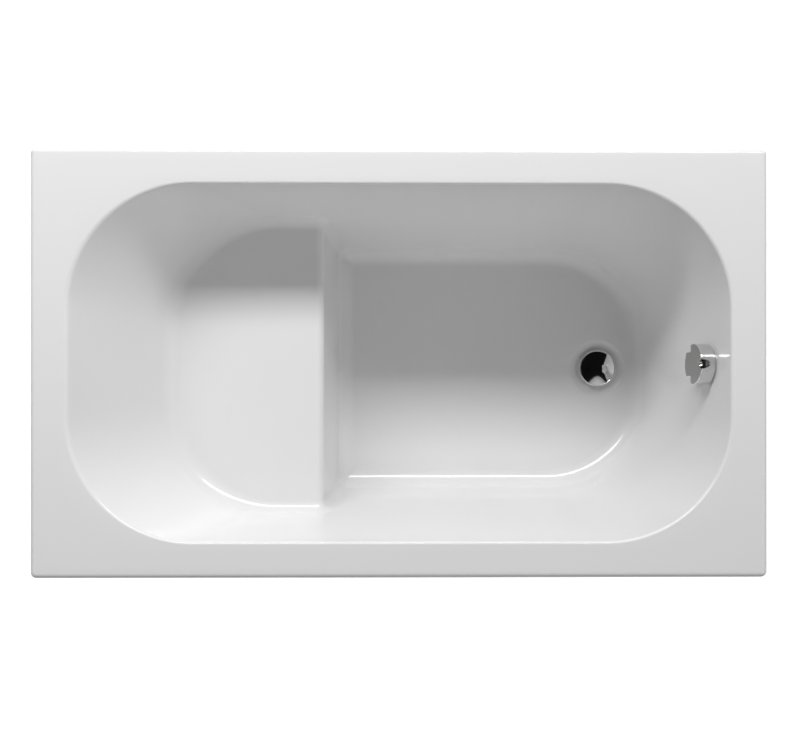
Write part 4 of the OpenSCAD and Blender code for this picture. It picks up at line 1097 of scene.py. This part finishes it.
# The boards that stiffen the floor and the seat are raw chipboard, bonded to the shell: pressed
# wood flakes, a few millimetres long, with darker ones among them.
flake_mm = 3.85
chipboard, tree = material("raw_chipboard")
place = node(tree, "ShaderNodeTexCoord")
flakes = node(tree, "ShaderNodeTexVoronoi", {"Scale": 1000 / flake_mm}, {
    "Vector": place.outputs["Object"],
})
grey = node(tree, "ShaderNodeSeparateColor", links={"Color": flakes.outputs["Color"]})
ramp = node(tree, "ShaderNodeValToRGB", links={"Fac": grey.outputs[0]})
ramp.color_ramp.elements[0].color = linear("8d6c45")
ramp.color_ramp.elements[1].color = linear("dcc296")
middle = ramp.color_ramp.elements.new(0.35)
middle.color = linear("c3a473")
bump = node(tree, "ShaderNodeBump", {"Strength": 0.5, "Distance": 0.0005}, {
    "Height": flakes.outputs["Distance"],
})
surface = node(tree, "ShaderNodeBsdfPrincipled", {"Roughness": 0.8, "IOR": 1.5}, {
    "Base Color": ramp.outputs["Color"], "Normal": bump.outputs["Normal"],
})
node(tree, "ShaderNodeOutputMaterial", links={"Surface": surface})
for name in ("base_board", "seat_board"):
    dressed(name, chipboard, 0.4)


# The battens are straight lengths of planed pine, bonded to the underside of the deck along its
# four edges, a few millimetres inside the lip. They stiffen the deck where people sit and lean.
grain_across_mm = 25
grain_along_mm = 500
ring_turns = 30.0


def pine(name, along):
    """Planed softwood whose growth rings run along one axis of the bath."""
    made, tree = material(name)
    place = node(tree, "ShaderNodeTexCoord")
    stretch = [1000 / grain_across_mm] * 3
    stretch["xyz".index(along)] = 1000 / grain_along_mm
    grain = node(tree, "ShaderNodeMapping", {"Scale": stretch}, {"Vector": place.outputs["Object"]})
    drift = node(tree, "ShaderNodeTexNoise", {"Scale": 1.0, "Detail": 3.0}, {"Vector": grain})
    rings = node(tree, "ShaderNodeMath", {"operation": "MULTIPLY", 1: ring_turns}, {
        0: drift.outputs["Fac"],
    })
    wave = node(tree, "ShaderNodeMath", {"operation": "SINE"}, {0: rings})
    share = node(tree, "ShaderNodeMapRange", {
        "interpolation_type": "SMOOTHSTEP", "From Min": -0.2, "From Max": 1.0,
    }, {"Value": wave})
    tint = node(tree, "ShaderNodeMix", {
        "data_type": "RGBA", "A": linear("dcbf8c"), "B": linear("b98a55"),
    }, {"Factor": share.outputs["Result"]})
    bump = node(tree, "ShaderNodeBump", {"Strength": 0.2, "Distance": 0.0003}, {
        "Height": share.outputs["Result"],
    })
    surface = node(tree, "ShaderNodeBsdfPrincipled", {"Roughness": 0.6, "IOR": 1.5}, {
        "Base Color": tint.outputs["Result"], "Normal": bump.outputs["Normal"],
    })
    node(tree, "ShaderNodeOutputMaterial", links={"Surface": surface})
    return made


long_pine = pine("planed_pine_long", "x")
cross_pine = pine("planed_pine_cross", "y")
for name in ("batten_front", "batten_back"):
    dressed(name, long_pine, 1.0)
for name in ("batten_drain_end", "batten_back_end"):
    dressed(name, cross_pine, 1.0)


# The waste and the overflow are moulded in white polypropylene: the bodies, the trap, the union
# nuts with their grip ribs and the pipe. The mould leaves a soft gloss and the faintest ripple.
ripple_mm = 8.33
polypropylene, tree = material("moulded_polypropylene")
place = node(tree, "ShaderNodeTexCoord")
ripple = node(tree, "ShaderNodeTexNoise", {"Scale": 1000 / ripple_mm, "Detail": 2.0}, {
    "Vector": place.outputs["Object"],
})
bump = node(tree, "ShaderNodeBump", {"Strength": 0.12, "Distance": 0.0004}, {
    "Height": ripple.outputs["Fac"],
})
dull = node(tree, "ShaderNodeMapRange", {"To Min": 0.3, "To Max": 0.42}, {
    "Value": ripple.outputs["Fac"],
})
surface = node(tree, "ShaderNodeBsdfPrincipled", {
    "Base Color": linear("e6e6e3"), "IOR": 1.49, "Subsurface Weight": 0.08,
    "Subsurface Radius": (0.003, 0.003, 0.003),
}, {"Normal": bump.outputs["Normal"], "Roughness": dull.outputs["Result"]})
node(tree, "ShaderNodeOutputMaterial", links={"Surface": surface})
for name in (
    "drain_body", "overflow_body", "trap_body", "trap_cup", "waste_pipe",
    "cable_cam", "cable_bracket",
):
    dressed(name, polypropylene, 0.4)
for name in ("hose_nut_upper", "hose_nut_lower", "trap_nut", "outlet_nut"):
    dressed(name, polypropylene, 0.3)


# The seals are moulded black rubber rings: one under the plug, the others clamped by a flange, a
# nut or the trap's cup. The rubber is soft and matt, and a fine dust on it makes it uneven.
dust_mm = 2
rubber, tree = material("moulded_rubber")
place = node(tree, "ShaderNodeTexCoord")
dust = node(tree, "ShaderNodeTexNoise", {"Scale": 1000 / dust_mm, "Detail": 2.0}, {
    "Vector": place.outputs["Object"],
})
dull = node(tree, "ShaderNodeMapRange", {"To Min": 0.62, "To Max": 0.85}, {
    "Value": dust.outputs["Fac"],
})
surface = node(tree, "ShaderNodeBsdfPrincipled", {"Base Color": linear("1b1b1c"), "IOR": 1.52}, {
    "Roughness": dull.outputs["Result"],
})
node(tree, "ShaderNodeOutputMaterial", links={"Surface": surface})
for name in (
    "drain_seal_upper", "drain_seal_lower", "plug_seal", "overflow_seal",
    "trap_seal", "trap_cup_seal", "outlet_seal",
):
    dressed(name, rubber, 0.2)


# The flanges, the plug's stem and the wire are stainless steel, turned or pressed. Turning leaves
# fine lines round the piece, which are drawn farther apart than a cutter's so that they show.
line_pitch_mm = 0.667
line_reach_mm = 33.3
around = 1000 / line_reach_mm
stainless, tree = material("turned_stainless_steel")
place = node(tree, "ShaderNodeTexCoord")
fine = node(tree, "ShaderNodeMapping", {"Scale": (around, around, 1000 / line_pitch_mm)}, {
    "Vector": place.outputs["Object"],
})
lines = node(tree, "ShaderNodeTexNoise", {"Scale": 1.0, "Detail": 2.0}, {"Vector": fine})
dull = node(tree, "ShaderNodeMapRange", {"To Min": 0.16, "To Max": 0.32}, {
    "Value": lines.outputs["Fac"],
})
surface = node(tree, "ShaderNodeBsdfPrincipled", {
    "Base Color": linear("c9c9c7"), "Metallic": 1.0,
}, {"Roughness": dull.outputs["Result"]})
node(tree, "ShaderNodeOutputMaterial", links={"Surface": surface})
for name in ("drain_flange", "overflow_flange", "plug_stem", "cable_wire"):
    dressed(name, stainless, 0.2)


# The lift pin, the rocker and the knob's spindle are brass, turned from bar. The rocker's finger
# lifts the pin, and the pin the plug. Water dulls the brass a little, in patches.
tarnish_mm = 11.1
brass, tree = material("turned_brass")
place = node(tree, "ShaderNodeTexCoord")
tarnish = node(tree, "ShaderNodeTexNoise", {"Scale": 1000 / tarnish_mm, "Detail": 3.0}, {
    "Vector": place.outputs["Object"],
})
tint = node(tree, "ShaderNodeMix", {
    "data_type": "RGBA", "A": linear("c9a45a"), "B": linear("ab8647"),
}, {"Factor": tarnish.outputs["Fac"]})
dull = node(tree, "ShaderNodeMapRange", {"To Min": 0.2, "To Max": 0.4}, {
    "Value": tarnish.outputs["Fac"],
})
surface = node(tree, "ShaderNodeBsdfPrincipled", {"Metallic": 1.0}, {
    "Base Color": tint.outputs["Result"], "Roughness": dull.outputs["Result"],
})
node(tree, "ShaderNodeOutputMaterial", links={"Surface": surface})
for name in ("lift_pin", "rocker", "knob_spindle"):
    dressed(name, brass, 0.2)
